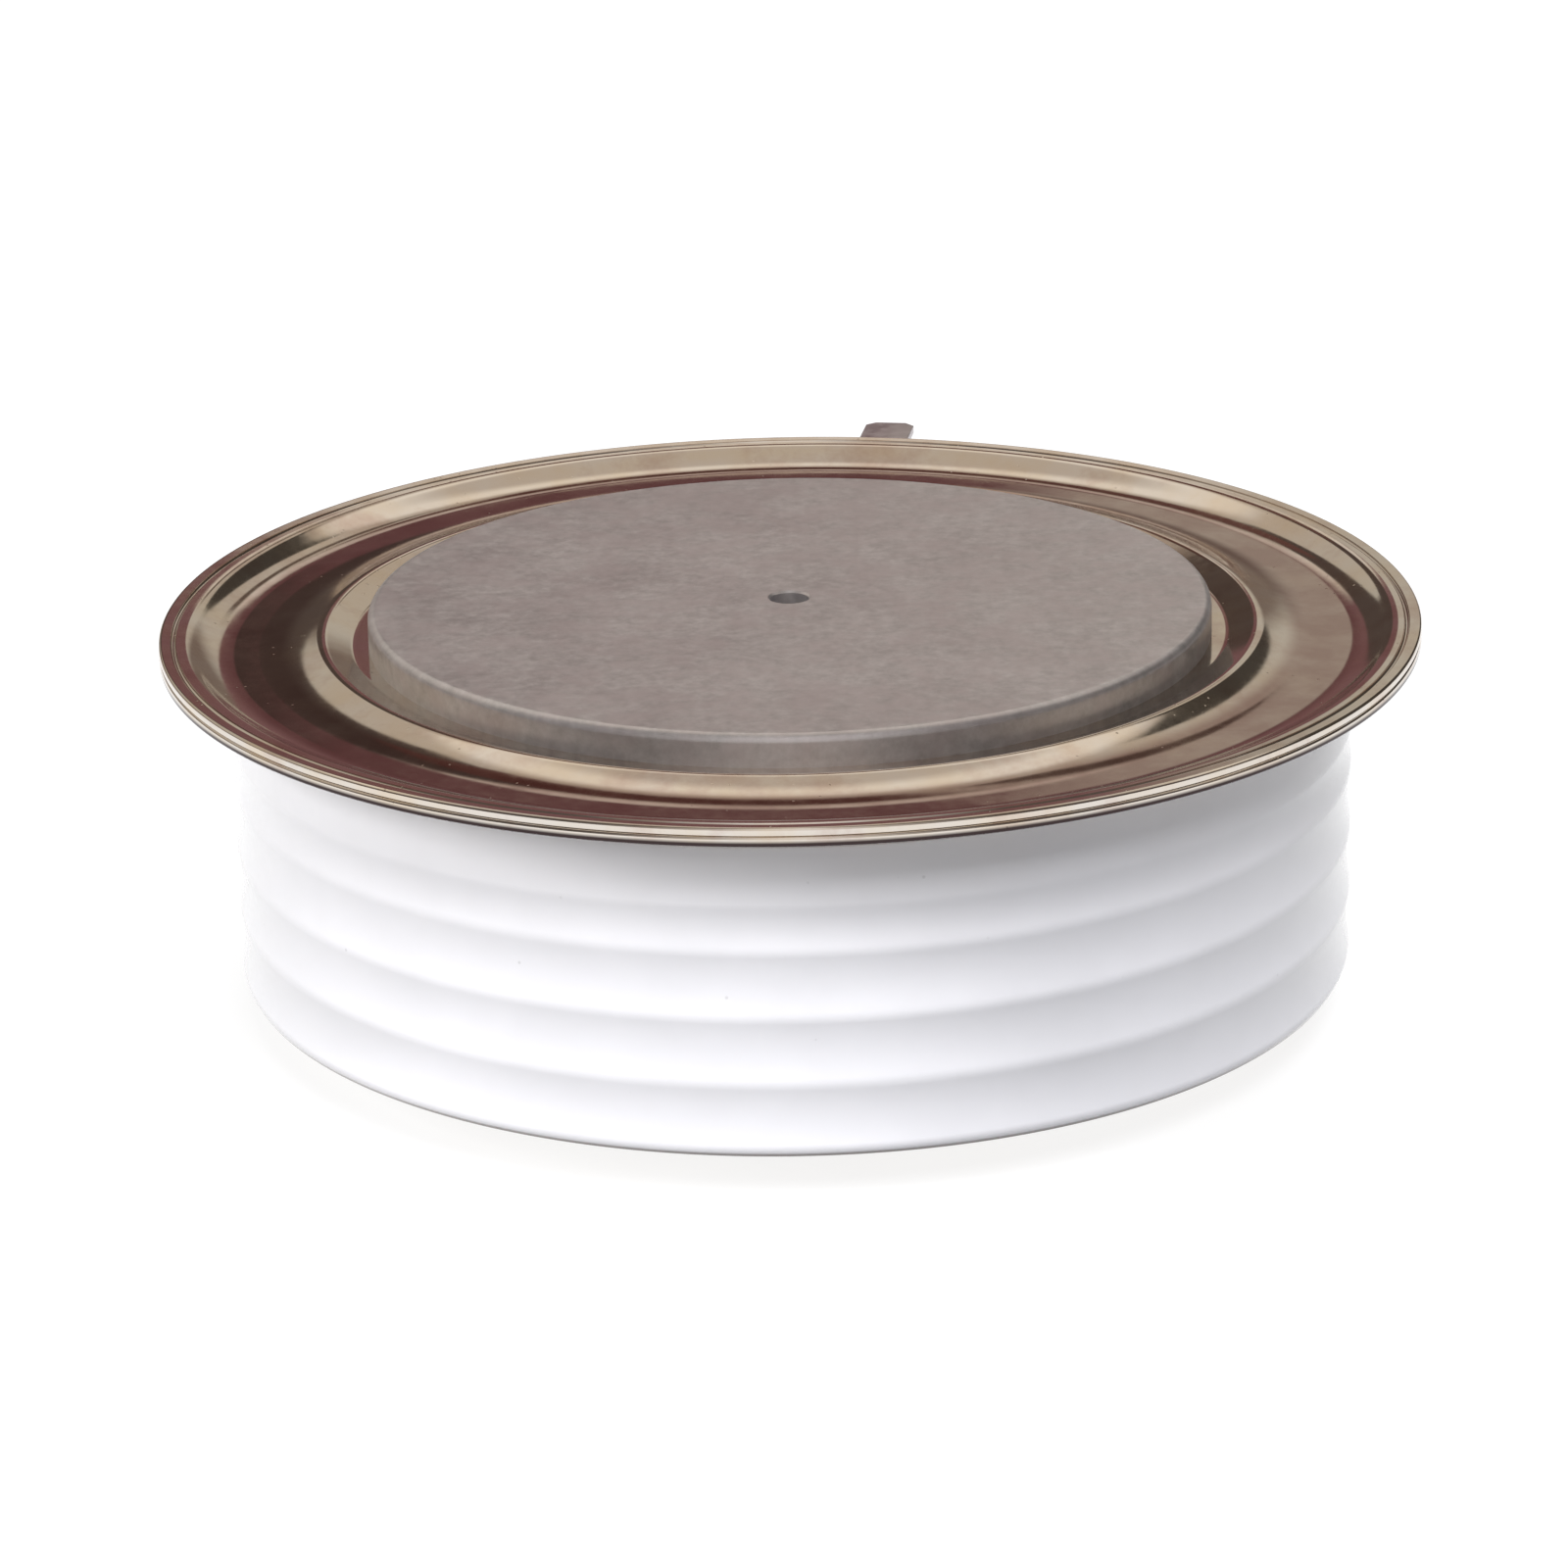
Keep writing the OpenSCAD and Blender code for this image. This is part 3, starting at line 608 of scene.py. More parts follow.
def matte_nickel():
    """Lapped and plated contact face: satin, with clouds, fine mottling and handling marks."""
    base = tuple(settings().colours.matte_nickel)
    f = Finish("matte_nickel", base, 0.42, 0.9)
    clouds = f.noise(9, detail=4, rough=0.6)
    mottle = f.noise(1.1, detail=4, rough=0.65)
    grain = f.noise(0.16, detail=2, rough=0.7)
    pink = f.noise(3.5, detail=3, rough=0.6)
    blend = f.math("ADD", f.math("MULTIPLY", clouds, 0.3), f.math("MULTIPLY", mottle, 0.7))
    colour = f.mix(f.ramp(blend, 0.36, 0.64, 0.0, 1.0), shade(base, 0.84), shade(base, 1.14))
    tinted = (base[0] * 1.02, base[1] * 0.96, base[2] * 0.97)
    colour = f.mix(f.ramp(pink, 0.42, 0.62, 0.0, 0.5), colour, tinted)
    rough = f.ramp(f.math("ADD", f.math("MULTIPLY", mottle, 0.5),
                          f.math("MULTIPLY", clouds, 0.5)), 0.35, 0.65, 0.36, 0.48)
    scratch = f.noise(0.5, detail=1, vector=f.stretched((0.05, 1, 1)))
    scratch = f.ramp(scratch, 0.70, 0.74, 0.0, -1.0)
    normal = f.bump(grain, 0.004, 0.6)
    normal = f.bump(mottle, 0.012, 0.5, normal)
    normal = f.bump(scratch, 0.003, 0.35, normal)
    return f.done(colour, rough, normal)


def bright_nickel():
    """Bright plated sheet: soft waves from forming, heat stains, specks, and a painted
    shadow line along the weld ring's lower outer edge."""
    base = tuple(settings().colours.bright_nickel)
    z = heights()
    weld_low = z["seam"] - settings().sheets.weld_t
    f = Finish("bright_nickel", base, 0.1, 1.0)
    clouds = f.noise(7, detail=4, rough=0.55)
    fine = f.noise(0.9, detail=3, rough=0.5)
    speck = f.ramp(f.cells(1.2), 0.05, 0.10, 1.0, 0.0)
    patch = f.ramp(f.noise(7, detail=2), 0.50, 0.60, 0.0, 1.0)
    speck = f.math("MULTIPLY", speck, patch)
    warm = (base[0] * 0.98, base[1] * 0.92, base[2] * 0.83)
    stain = (base[0] * 0.74, base[1] * 0.60, base[2] * 0.56)
    heat = (base[0] * 0.52, base[1] * 0.38, base[2] * 0.37)
    colour = f.mix(f.ramp(clouds, 0.4, 0.68, 0.0, 1.0), base, warm)
    colour = f.mix(f.ramp(f.noise(10, detail=5, rough=0.65), 0.50, 0.70, 0.0, 0.7), colour, stain)
    r, height = f.radius(), f.split()[2]
    ring = f.math("MULTIPLY", f.ramp(r, 43.8 * MM, 45.4 * MM, 0.0, 1.0, "SMOOTHSTEP"),
                  f.ramp(r, 49.6 * MM, 51.2 * MM, 1.0, 0.0, "SMOOTHSTEP"))
    ring = f.math("MULTIPLY", ring, f.ramp(height, 33.3 * MM, 33.6 * MM, 0.0, 1.0))
    ring = f.math("MULTIPLY", ring, f.ramp(f.noise(6, detail=4, rough=0.6), 0.35, 0.6, 0.7, 1.0))
    colour = f.mix(ring, colour, heat)
    # Painted shadow: the weld ring's lower outer edge turns almost black, standing in for the
    # shade under the flange's overhang.
    rim = f.ramp(r, 55.4 * MM, 55.7 * MM, 0.0, 1.0)
    low = f.ramp(height, (weld_low + 0.34) * MM, (weld_low + 0.62) * MM, 1.0, 0.0)
    colour = f.mix(f.math("MULTIPLY", rim, low), colour, (0.05, 0.035, 0.035))
    rough = f.ramp(f.math("ADD", f.math("MULTIPLY", clouds, 0.6),
                          f.math("MULTIPLY", fine, 0.4)), 0.35, 0.7, 0.06, 0.14)
    rough = f.math("ADD", rough, f.math("MULTIPLY", speck, 0.35))
    normal = f.bump(f.noise(6, detail=2, rough=0.5), 0.03, 0.5)
    normal = f.bump(fine, 0.0016, 0.4, normal)
    normal = f.bump(speck, 0.02, 0.8, normal)
    return f.done(colour, rough, normal)


def terminal_nickel():
    """Dull plated terminal strip with the fine lines of its rolling."""
    base = tuple(settings().colours.terminal_nickel)
    f = Finish("terminal_nickel", base, 0.34, 0.85)
    clouds = f.noise(1.4, detail=4, rough=0.6)
    lines = f.noise(0.25, detail=2, vector=f.stretched((1, 0.06, 1)))
    colour = f.mix(f.ramp(clouds, 0.35, 0.65, 0.0, 1.0), shade(base, 0.86), shade(base, 1.1))
    rough = f.ramp(clouds, 0.3, 0.7, 0.27, 0.45)
    normal = f.bump(lines, 0.004, 0.5)
    return f.done(colour, rough, normal)


def glazed_ceramic():
    """White glaze over alumina: a slow wave, tiny pits and a dark band along its lower end."""
    base = tuple(settings().colours.glaze)
    ceramic = settings().insulator
    f = Finish("glazed_ceramic", base, 0.16)
    f.set("IOR", 1.55)
    f.set("Coat Weight", 0.6)
    f.set("Coat Roughness", 0.05)
    f.set("Coat IOR", 1.5)
    f.set("Subsurface Weight", 0.06)
    f.set("Subsurface Radius", (0.0015, 0.0014, 0.0013))
    clouds = f.noise(14, detail=3, rough=0.5)
    fine = f.noise(0.7, detail=3, rough=0.6)
    pits = f.ramp(f.cells(2.6), 0.03, 0.07, 1.0, 0.0)
    keep = f.ramp(f.noise(5, detail=1), 0.55, 0.62, 0.0, 1.0)
    pits = f.math("MULTIPLY", pits, keep)
    colour = f.mix(f.ramp(clouds, 0.35, 0.65, 0.0, 1.0), shade(base, 0.965), shade(base, 1.02))
    colour = f.mix(f.math("MULTIPLY", pits, 0.4), colour, shade(base, 0.55))
    z = f.split()[2]
    # A dark band just above the ceramic's lower end.
    low = f.ramp(z, (ceramic.base + 0.25) * MM, (ceramic.base + 0.42) * MM, 1.0, 0.0)
    colour = f.mix(low, colour, (0.30, 0.27, 0.26))
    rough = f.ramp(fine, 0.3, 0.7, 0.10, 0.2)
    normal = f.bump(f.noise(4.5, detail=2), 0.03, 0.35)
    normal = f.bump(pits, 0.02, 0.6, normal)
    return f.done(colour, rough, normal)


def plain(name, colour, roughness, metallic, size_mm, depth_mm, spread=0.08):
    """A finish with clouds in its colour and roughness and a grain of size_mm."""
    colour = tuple(colour)
    f = Finish(name, colour, roughness, metallic)
    clouds = f.noise(size_mm * 8, detail=4, rough=0.6)
    grain = f.noise(size_mm, detail=3, rough=0.6)
    tone = f.mix(f.ramp(clouds, 0.35, 0.65, 0.0, 1.0),
                 shade(colour, 1 - spread), shade(colour, 1 + spread))
    rough = f.ramp(clouds, 0.3, 0.7, roughness * 0.85, min(1.0, roughness * 1.15))
    return f.done(tone, rough, f.bump(grain, depth_mm, 0.6))


def finish(name):
    """The material of that name, made when it is first asked for."""
    if name + FINISH in bpy.data.materials:
        return bpy.data.materials[name + FINISH]
    c = settings().colours
    makers = {
        "matte_nickel": matte_nickel,
        "bright_nickel": bright_nickel,
        "terminal_nickel": terminal_nickel,
        "glazed_ceramic": glazed_ceramic,
        "braze": lambda: plain("braze", c.braze, 0.3, 1.0, 0.25, 0.012),
        "molybdenum": lambda: plain("molybdenum", c.molybdenum, 0.35, 1.0, 0.12, 0.004),
        "silicon": lambda: plain("silicon", c.silicon, 0.12, 0.6, 0.6, 0.001, 0.04),
        "silicone_rubber": lambda: plain("silicone_rubber", c.rubber, 0.5, 0.0, 0.3, 0.01),
        "insulation": lambda: plain("insulation", c.insulation, 0.55, 0.0, 0.2, 0.006, 0.03),
        "spring_steel": lambda: plain("spring_steel", c.spring_steel, 0.28, 1.0, 0.08, 0.003),
    }
    return makers[name]()


def dress(obj, name):
    """Puts one finish on a piece."""
    obj.data.materials.clear()
    obj.data.materials.append(finish(name))


def finished(obj, slot, node=None, material=None):
    """Gives a piece its finish, lets it ride, and hides the solid it stands for.
    The finish is the one that slot names, unless a material is named."""
    dress(obj, material or slot)
    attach(obj, "root")
    if node:
        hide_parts(node)


# ---------------------------------------------------------------- sections of the pieces

def heights():
    """Heights of the lid's and flanges' levels, in millimetres."""
    c, s = settings().capsule, settings().sheets
    shelf = c.height - c.cathode_boss
    rim = shelf + s.rim_rise
    dish = shelf - s.dish_drop
    foot = dish - s.lid_t - s.nest_gap
    return {"shelf": shelf, "ridge": shelf + s.ridge_rise, "dish": dish, "rim": rim,
            "seam": rim - s.lid_t, "foot": foot, "ceramic_top": foot - s.weld_t,
            "anode_flange": c.anode_boss + s.anode_t}


def lid_path():
    """Face of the lid, from the pole out to the rim."""
    c, s, z = settings().capsule, settings().sheets, heights()
    rim_r = c.flange_r - s.rim_w
    ridge_r = c.pole_r + s.ridge_out
    return [
        (c.pole_r, z["shelf"], 0),
        (c.pole_r + c.shoulder_w, z["shelf"], s.lid_t + s.bend),
        (ridge_r, z["ridge"] + s.crest_over, s.crest_in),
        (ridge_r + s.ridge_run, z["dish"], s.foot_in),
        (rim_r - s.rim_run, z["dish"], s.dish_in),
        (rim_r, z["rim"], s.lid_t + s.rim_in),
        (c.flange_r, z["rim"], 0),
    ]


def lid_face():
    """The lid's upper face: its path with softer rounds, and the rim's inner side coined."""
    s = settings().sheets
    path = lid_path()
    for k, radius in ((2, s.ridge_crest), (3, s.ridge_foot), (4, s.dish_round),
                      (5, s.rim_round)):
        path[k] = (*path[k][:2], radius)
    path[5] = (path[5][0], path[5][1] - s.rim_coin, s.rim_round)
    return path


def weld_path():
    """Upper face of the weld ring, nested under the lid's dish."""
    c, s, z = settings().capsule, settings().sheets, heights()
    under = beside(lid_path(), -s.lid_t)
    return [
        (c.bore_r + s.bore_gap, z["foot"], 0),
        (under[4][0] + s.nest_gap, z["foot"], s.dish_in + s.lid_t + s.weld_t),
        (under[5][0] + s.nest_gap, z["seam"], s.weld_t + s.rim_in),
        (c.flange_r, z["seam"], 0),
    ]


def ceramic_path():
    """Closed section of the ceramic ring, with coves between its rounded crests."""
    c, i, top = settings().capsule, settings().insulator, heights()["ceramic_top"]
    band = top - i.band_h
    last = band - i.top_cove_h
    first = i.base + i.rib_first
    pitch = (last - first) / (i.rib_count - 1)
    slope = 2 * i.rib_h / pitch

    def cove(z, h):
        radius = 0.99 * h / 2 * math.hypot(1, 1 / slope) - i.crest_r
        return (c.ceramic_r - slope * h / 2, z + h / 2, radius)

    path = [(c.bore_r, i.base + i.chamfer, 0), (c.bore_r + i.chamfer, i.base, 0),
            (c.ceramic_r - i.foot_in, i.base, i.foot_in / 2),
            (c.ceramic_r, first, i.foot_round)]
    for k in range(i.rib_count - 1):
        z = first + k * pitch
        path += [cove(z, pitch), (c.ceramic_r, z + pitch, i.crest_r)]
    return path + [cove(last, i.top_cove_h), (c.ceramic_r, band, i.crest_r),
                   (c.ceramic_r, top, i.glaze_r), (c.bore_r + i.chamfer, top, 0),
                   (c.bore_r, top - i.chamfer, 0)]


def groove(points, centre, radius):
    """Cuts a half-round groove to the right of the stretch that its centre lies on."""
    centre = Vector(centre)
    result = []
    for i, p in enumerate(points):
        result.append(p)
        q = points[(i + 1) % len(points)]
        along = unit(p, q)
        ahead, off = (centre - p).dot(along), abs(cross(along, centre - p))
        if off < 1e-4 and radius < ahead < (q - p).length - radius:
            right = Vector((along[1], -along[0]))
            result += [centre + radius * (right * math.sin(math.pi * k / 12)
                                          - along * math.cos(math.pi * k / 12))
                       for k in range(13)]
    return result


def sheet_section(upper, lower, edge):
    """Closed section of a sheet between its two faces, with its outer edge rounded."""
    ends = [(*upper[-1][:2], edge), (*lower[-1][:2], edge)]
    return rounded(upper[:-1] + ends + lower[:-1][::-1])


# ---------------------------------------------------------------- operators

class THYRISTOR_OT_contacts(bpy.types.Operator):
    """Turn the two copper contact pieces with their locating holes"""
    bl_idname = "thyristor.contacts"
    bl_label = "Contact pieces"

    def execute(self, context):
        c, s, z = settings().capsule, settings().sheets, heights()
        cathode = self.outside(c.height, -1, z["shelf"] - s.lid_t) + [
            (c.contact_r, z["shelf"] - s.lid_t - c.shoulder_t, 0),
            (c.contact_r, c.contact_z + c.end_break, 0),
            (c.contact_r - c.end_break, c.contact_z, 0),
            (c.gate_bore_r, c.contact_z, 0),
            (c.gate_bore_r, c.contact_z + c.gate_bore_depth, 0),
            (0, c.contact_z + c.gate_bore_depth, 0),
        ]
        piece = turned("cathode_contact", supported(rounded(cathode)), closed=False)
        reach = c.contact_r + 1
        cut(piece, cutter_box((reach, c.slot_w, c.slot_h),
                              (reach / 2, 0, c.contact_z + c.slot_z),
                              settings().terminals.gate_azimuth))
        finished(piece, "matte_nickel", "cathode_pole")
        anode = self.outside(0, 1, z["anode_flange"]) + [
            (c.pole_r, z["anode_flange"] + c.shoulder_t, 0),
            (c.pole_r, c.anode_h - c.end_break, 0),
            (c.pole_r - c.end_break, c.anode_h, 0),
            (0, c.anode_h, 0),
        ]
        piece = turned("anode_contact", supported(rounded(anode)), closed=False)
        finished(piece, "matte_nickel", "anode_pole")
        return {"FINISHED"}

    def outside(self, face, into, seat):
        """Section of a pole from its locating hole, over its face, to its shoulder's far
        side. into is +1 or -1, from the face towards the capsule's middle."""
        c = settings().capsule
        shoulder_r = c.pole_r + c.shoulder_w
        return [
            (0, face + into * c.locating_depth, 0),
            (c.locating_r, face + into * c.locating_depth, 0),
            (c.locating_r, face + into * c.hole_break, 0),
            (c.locating_r + c.hole_break, face, 0),
            (c.pole_r, face, c.face_edge),
            (c.pole_r, seat, 0),
            (shoulder_r, seat, 0),
            (shoulder_r, seat + into * c.shoulder_t, 0),
        ]


class THYRISTOR_OT_lid(bpy.types.Operator):
    """Turn the formed lid with its ridge, dish and cold-welded rim"""
    bl_idname = "thyristor.lid"
    bl_label = "Lid"

    def execute(self, context):
        c, s, z = settings().capsule, settings().sheets, heights()
        section = sheet_section(lid_face(), beside(lid_path(), -s.lid_t), s.rim_edge)
        level = z["rim"] - s.rim_coin * s.groove_in / s.rim_w
        section = groove(section, (c.flange_r - s.groove_in, level), s.groove_r)
        piece = turned("lid", supported(section))
        finished(piece, "bright_nickel", "lid_flange")
        return {"FINISHED"}


class THYRISTOR_OT_flanges(bpy.types.Operator):
    """Turn the weld ring under the lid and the anode flange"""
    bl_idname = "thyristor.flanges"
    bl_label = "Flanges"

    def execute(self, context):
        c, s, z = settings().capsule, settings().sheets, heights()
        i = settings().insulator
        path = weld_path()
        section = sheet_section(path, beside(path, -s.weld_t), s.rim_edge)
        section = groove(section, (c.flange_r - s.groove_in, z["seam"] - s.weld_t), s.groove_r)
        piece = turned("weld_flange", supported(section))
        finished(piece, "bright_nickel", "weld_ring")
        path = [
            (c.pole_r, z["anode_flange"], 0),
            (c.pole_r + c.shoulder_w + s.anode_start, z["anode_flange"],
             s.anode_t + s.anode_round),
            (c.bore_r - s.anode_foot, i.base, s.anode_t + s.anode_round),
            (c.ceramic_r - s.anode_rim, i.base, 0),
        ]
        section = sheet_section(path, beside(path, -s.anode_t), s.sheet_edge)
        piece = turned("lower_flange", supported(section))
        finished(piece, "bright_nickel", "anode_flange")
        return {"FINISHED"}


class THYRISTOR_OT_insulator(bpy.types.Operator):
    """Turn the glazed ceramic ring with its soft ribs, and drill it for the gate tube"""
    bl_idname = "thyristor.insulator"
    bl_label = "Ceramic ring"

    def execute(self, context):
        c, t = settings().capsule, settings().terminals
        piece = turned("insulator", supported(rounded(ceramic_path())))
        cut(piece, rod(t.tube_r, c.bore_r - 1, c.ceramic_r + 2, t.gate_z, t.gate_azimuth))
        finished(piece, "glazed_ceramic", "ceramic_ring")
        return {"FINISHED"}


class THYRISTOR_OT_terminals(bpy.types.Operator):
    """Make the gate tube, its crimped blade and the auxiliary blade, with their joints"""
    bl_idname = "thyristor.terminals"
    bl_label = "Terminals"

    def execute(self, context):
        self.tube()
        self.gate_blade()
        self.auxiliary_blade()
        return {"FINISHED"}

    def along(self, obj):
        """Lays a piece that was turned about Z along the gate tube."""
        t = settings().terminals
        return placed(lying(obj), (0, 0, t.gate_z), (0, 0, t.gate_azimuth))

    def tube(self):
        """The gate tube, and the braze fillet where it leaves the ceramic."""
        c, t = settings().capsule, settings().terminals
        bore, middle, edge = t.tube_r - t.tube_wall, (t.tube_in + t.tube_out) / 2, 0.12
        points = rounded([
            (bore, middle, 0), (bore, t.tube_in, edge), (t.tube_r, t.tube_in, edge),
            (t.tube_r, t.tube_out, edge), (bore, t.tube_out, edge), (bore, middle + 0.1, 0)])
        piece = turned("gate_stub", supported(points), steps=64)
        finished(self.along(piece), "terminal_nickel", "gate_tube")
        sunk, spread, rise, inside = 0.12, 0.75, 0.95, 0.03
        foot = c.ceramic_r - sunk
        bead = turned("gate_braze", rounded([
            (t.tube_r - inside, foot, 0), (t.tube_r + spread, foot, 0.08),
            (t.tube_r + 0.2, foot + 0.3, 0.35), (t.tube_r, foot + rise, 0.05),
            (t.tube_r - inside, foot + rise, 0)]), steps=64)
        finished(self.along(bead), "terminal_nickel", material="braze")

    def gate_blade(self):
        """The blade with its crimped barrel on the tube's end."""
        t = settings().terminals
        outer, full = t.tube_r + t.crimp_wall, t.crimp_len + t.crimp_wall
        barrel = turned("crimp", supported(rounded([
            (0, t.crimp_len, 0), (t.tube_r, t.crimp_len, 0), (t.tube_r, 0, 0.15),
            (outer, 0, 0.15), (outer, full, 0.4), (0, full, 0)]), closed=False),
            closed=False, steps=64)
        lying(barrel)
        for x in (t.crimp_len * 0.3, t.crimp_len * 0.72):
            for side in (-1, 1):
                nib = rod(0.55, -outer, outer, 0, math.pi / 2)
                cut(barrel, placed(nib, (x, 0, side * (outer + 0.2))))
        strip = placed(blade(t.blade_free), (t.crimp_len + t.crimp_wall / 2, 0, -t.blade_t / 2))
        modify(barrel, "BOOLEAN", object=strip, operation="UNION", solver="EXACT")
        bpy.data.objects.remove(strip)
        placed(barrel, (t.tube_out - t.crimp_len, 0, t.gate_z), (0, 0, t.gate_azimuth))
        settle(barrel, "gate_blade")
        smooth(barrel)
        finished(barrel, "terminal_nickel", "gate_tab")

    def auxiliary_blade(self):
        """The blade under the rim, with two weld dents and a braze bead at its root."""
        c, s, t, z = settings().capsule, settings().sheets, settings().terminals, heights()
        level = z["seam"] - s.weld_t - t.blade_t
        strip = blade(t.root + t.blade_free)
        dent = [Vector(v) for v in ((0, -0.5), (0.75, -0.5), (0.3, 0.12), (0, 0.16))]
        for side in (-1, 1):
            nib = turned("nib", dent, closed=False, steps=24)
            cut(strip, placed(nib, (0.85, side * 1.2, 0)))
        placed(strip, (c.flange_r - t.root, 0, level), (0, 0, t.cathode_azimuth))
        settle(strip, "auxiliary_blade")
        smooth(strip)
        finished(strip, "terminal_nickel", "cathode_tab")
        bead = rod(0.2, -t.blade_w / 2 + 0.15, t.blade_w / 2 - 0.15, 0, math.pi / 2, sides=16)
        bpy.ops.object.mode_set(mode="EDIT")
        bpy.ops.mesh.select_all(action="SELECT")
        bpy.ops.mesh.bevel(offset=0.06 * MM, segments=2, affect="EDGES")
        bpy.ops.object.mode_set(mode="OBJECT")
        placed(bead, (c.flange_r - 0.02, 0, level + t.blade_t), (0, 0, t.cathode_azimuth))
        settle(bead, "auxiliary_braze")
        smooth(bead)
        finished(bead, "terminal_nickel", material="braze")


class THYRISTOR_OT_fittings(bpy.types.Operator):
    """Give every solid inside the capsule its finish"""
    bl_idname = "thyristor.fittings"
    bl_label = "Inner fittings"

    def execute(self, context):
        materials = {
            "cathode_strain_disc": "molybdenum", "anode_strain_disc": "molybdenum",
            "silicon_wafer": "silicon", "edge_rubber": "silicone_rubber",
            "locating_ring": "insulation", "gate_sleeve": "insulation",
            "gate_bush": "insulation", "lead_sleeve": "insulation",
            "gate_spring": "spring_steel", "gate_pin": "terminal_nickel",
            "gate_lead": "terminal_nickel",
        }
        for node, material in materials.items():
            dress(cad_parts[node], material)
        return {"FINISHED"}


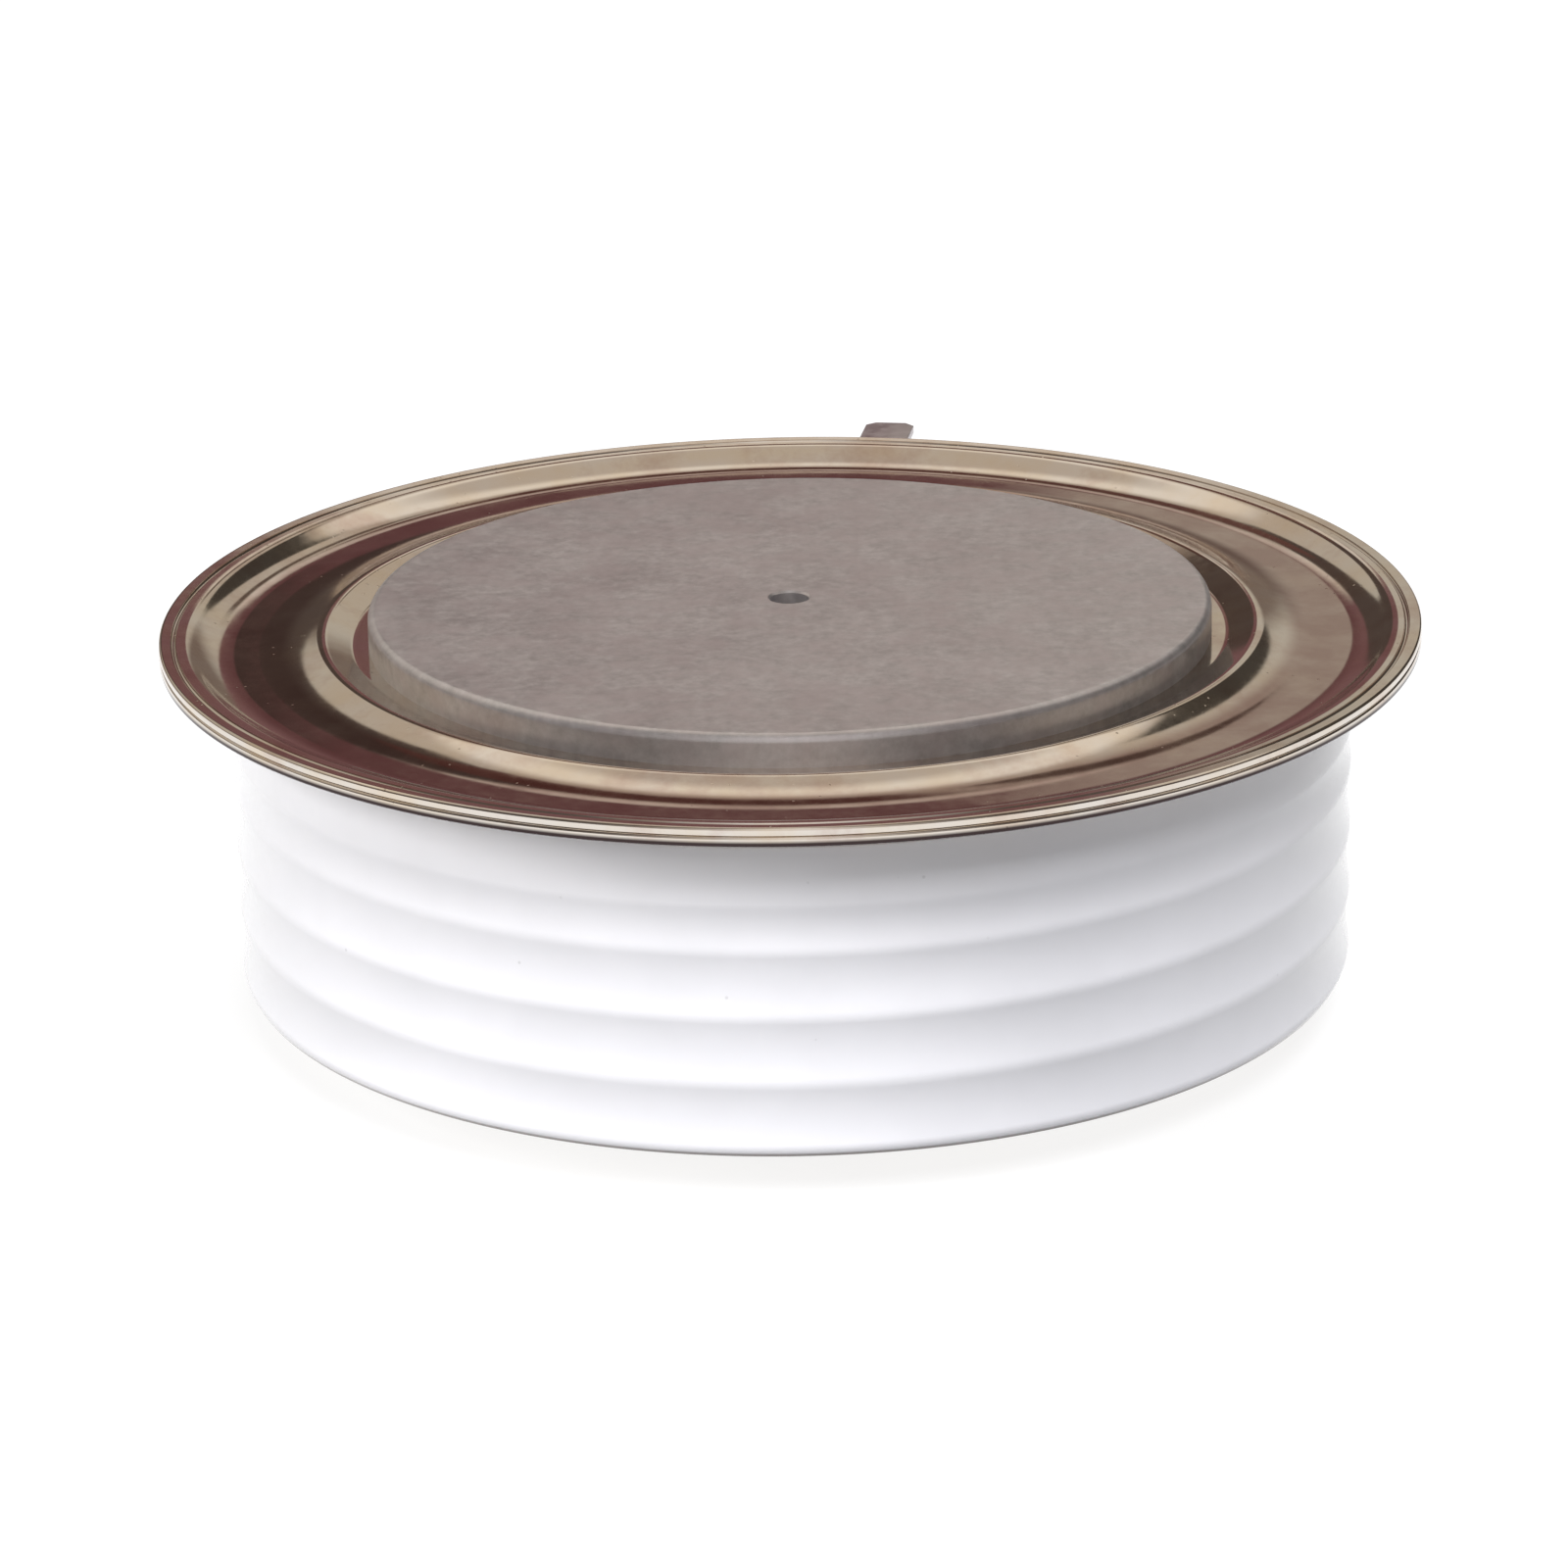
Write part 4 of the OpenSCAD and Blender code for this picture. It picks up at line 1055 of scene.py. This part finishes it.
class THYRISTOR_OT_stage(bpy.types.Operator):
    """Set the floor, the soft light and the camera"""
    bl_idname = "thyristor.stage"
    bl_label = "Stage"

    def execute(self, context):
        scene = context.scene
        scene.view_settings.view_transform = "Standard"
        self.floor()
        self.world(scene)
        self.lamps()
        self.camera(scene)
        return {"FINISHED"}

    def floor(self):
        """A floor that takes the shadow and looks white to the camera and in metal."""
        deselect()
        bpy.ops.mesh.primitive_circle_add(vertices=128, radius=FLOOR_R, fill_type="NGON")
        floor = bpy.context.object
        floor.name = "floor"
        material = bpy.data.materials.new("floor")
        material.use_nodes = True
        g = Graph(material.node_tree)
        g.nodes.clear()
        diffuse = g.new("BsdfDiffuse", (*settings().colours.floor, 1)).outputs[0]
        glow = g.new("Emission")
        glow.inputs["Strength"].default_value = FLOOR_GLOW
        lit = g.new("AddShader", diffuse, glow.outputs[0]).outputs[0]
        rays = g.new("LightPath").outputs
        seen = g.math("MAXIMUM", rays["Is Camera Ray"], rays["Is Glossy Ray"])
        mix = g.new("MixShader", seen, diffuse, lit)
        g.new("OutputMaterial", mix.outputs[0])
        floor.data.materials.append(material)

    def world(self, scene):
        """Even soft light, white behind the part, and the room of WALLS and SCREENS that
        only metal and glaze mirror."""
        world = bpy.data.worlds.new("studio")
        world.use_nodes = True
        scene.world = world
        g = Graph(world.node_tree)
        g.nodes.clear()
        x, y, z = g.new("SeparateXYZ", g.new("TexCoord").outputs["Generated"]).outputs
        turn = g.math("DEGREES", g.math("ARCTAN2", x, y))
        rise = g.math("DEGREES", g.math("ARCSINE", z))
        mirrored = g.colours(g.ramp(rise, -90.0, 90.0, 0.0, 1.0),
                             [((e + 90) / 180, c) for e, c in WALLS])
        for left, right, low, high, colour in SCREENS:
            inside = g.math("MULTIPLY", g.between(turn, left, right),
                            g.between(rise, low, high))
            mirrored = g.mix(inside, mirrored, colour)
        either_way = g.math("ABSOLUTE", turn)
        near = g.colours(g.ramp(either_way, 90.0, 180.0, 0.0, 1.0),
                         [((a - 90) / 90, c) for a, c in NEAR])
        mirrored = g.mix(g.ramp(either_way, 75.0, 105.0, 0.0, 1.0), mirrored, near)
        rays = g.new("LightPath").outputs
        light = g.new("Background", (*AMBIENT, 1)).outputs[0]
        room = g.new("Background", mirrored).outputs[0]
        white = g.new("Background", (1, 1, 1, 1)).outputs[0]
        for_metal = g.new("MixShader", rays["Is Glossy Ray"], light, room).outputs[0]
        seen = g.new("MixShader", rays["Is Camera Ray"], for_metal, white).outputs[0]
        g.new("OutputWorld", seen)

    def lamps(self):
        """Large soft lamps, which no metal mirrors."""
        for name, place, size, power, colour in LAMPS:
            data = bpy.data.lights.new(name, "AREA")
            data.shape = "SQUARE"
            data.size = size
            data.energy = power
            data.color = colour
            lamp = bpy.data.objects.new(name, data)
            bpy.context.scene.collection.objects.link(lamp)
            lamp.location = place
            lamp.visible_glossy = False
            aim = Vector(LAMPS_TO) - Vector(place)
            lamp.rotation_euler = aim.to_track_quat("-Z", "Y").to_euler()

    def camera(self, scene):
        """A long lens from a little above the lid."""
        data = bpy.data.cameras.new("camera")
        data.lens = LENS
        data.sensor_width = SENSOR
        camera = bpy.data.objects.new("camera", data)
        scene.collection.objects.link(camera)
        place, target = Vector(CAMERA_AT), Vector(CAMERA_TO)
        forward = (target - place).normalized()
        right = forward.cross(Vector((0, 0, 1))).normalized()
        up = right.cross(forward)
        x = right * math.cos(CAMERA_ROLL) + up * math.sin(CAMERA_ROLL)
        y = up * math.cos(CAMERA_ROLL) - right * math.sin(CAMERA_ROLL)
        rows = [[x[k], y[k], -forward[k], place[k]] for k in range(3)]
        camera.matrix_world = Matrix([*rows, [0, 0, 0, 1]])
        scene.camera = camera


class THYRISTOR_PT_panel(bpy.types.Panel):
    """Lists the pieces and the sizes they are made from"""
    bl_idname = "THYRISTOR_PT_panel"
    bl_label = "Thyristor"
    bl_space_type = "VIEW_3D"
    bl_region_type = "UI"
    bl_category = "Thyristor"

    def draw(self, context):
        for operator in OPERATORS:
            self.layout.operator(operator.bl_idname)
        for group in ("capsule", "sheets", "insulator", "terminals", "colours"):
            box = self.layout.box()
            box.label(text=group.title())
            values = getattr(context.scene.thyristor, group)
            for key in values.__annotations__:
                box.prop(values, key)


OPERATORS = (
    THYRISTOR_OT_contacts, THYRISTOR_OT_lid, THYRISTOR_OT_flanges, THYRISTOR_OT_insulator,
    THYRISTOR_OT_terminals, THYRISTOR_OT_fittings, THYRISTOR_OT_stage,
)
CLASSES = (
    ThyristorCapsule, ThyristorSheets, ThyristorInsulator, ThyristorTerminals,
    ThyristorColours, ThyristorSettings, *OPERATORS, THYRISTOR_PT_panel,
)


def register():
    for cls in CLASSES:
        bpy.utils.register_class(cls)
    bpy.types.Scene.thyristor = PointerProperty(type=ThyristorSettings)


def unregister():
    del bpy.types.Scene.thyristor
    for cls in reversed(CLASSES):
        bpy.utils.unregister_class(cls)


def main():
    register()
    bpy.ops.thyristor.contacts()
    bpy.ops.thyristor.lid()
    bpy.ops.thyristor.flanges()
    bpy.ops.thyristor.insulator()
    bpy.ops.thyristor.terminals()
    bpy.ops.thyristor.fittings()
    bpy.ops.thyristor.stage()


if __name__ == "__main__":
    main()
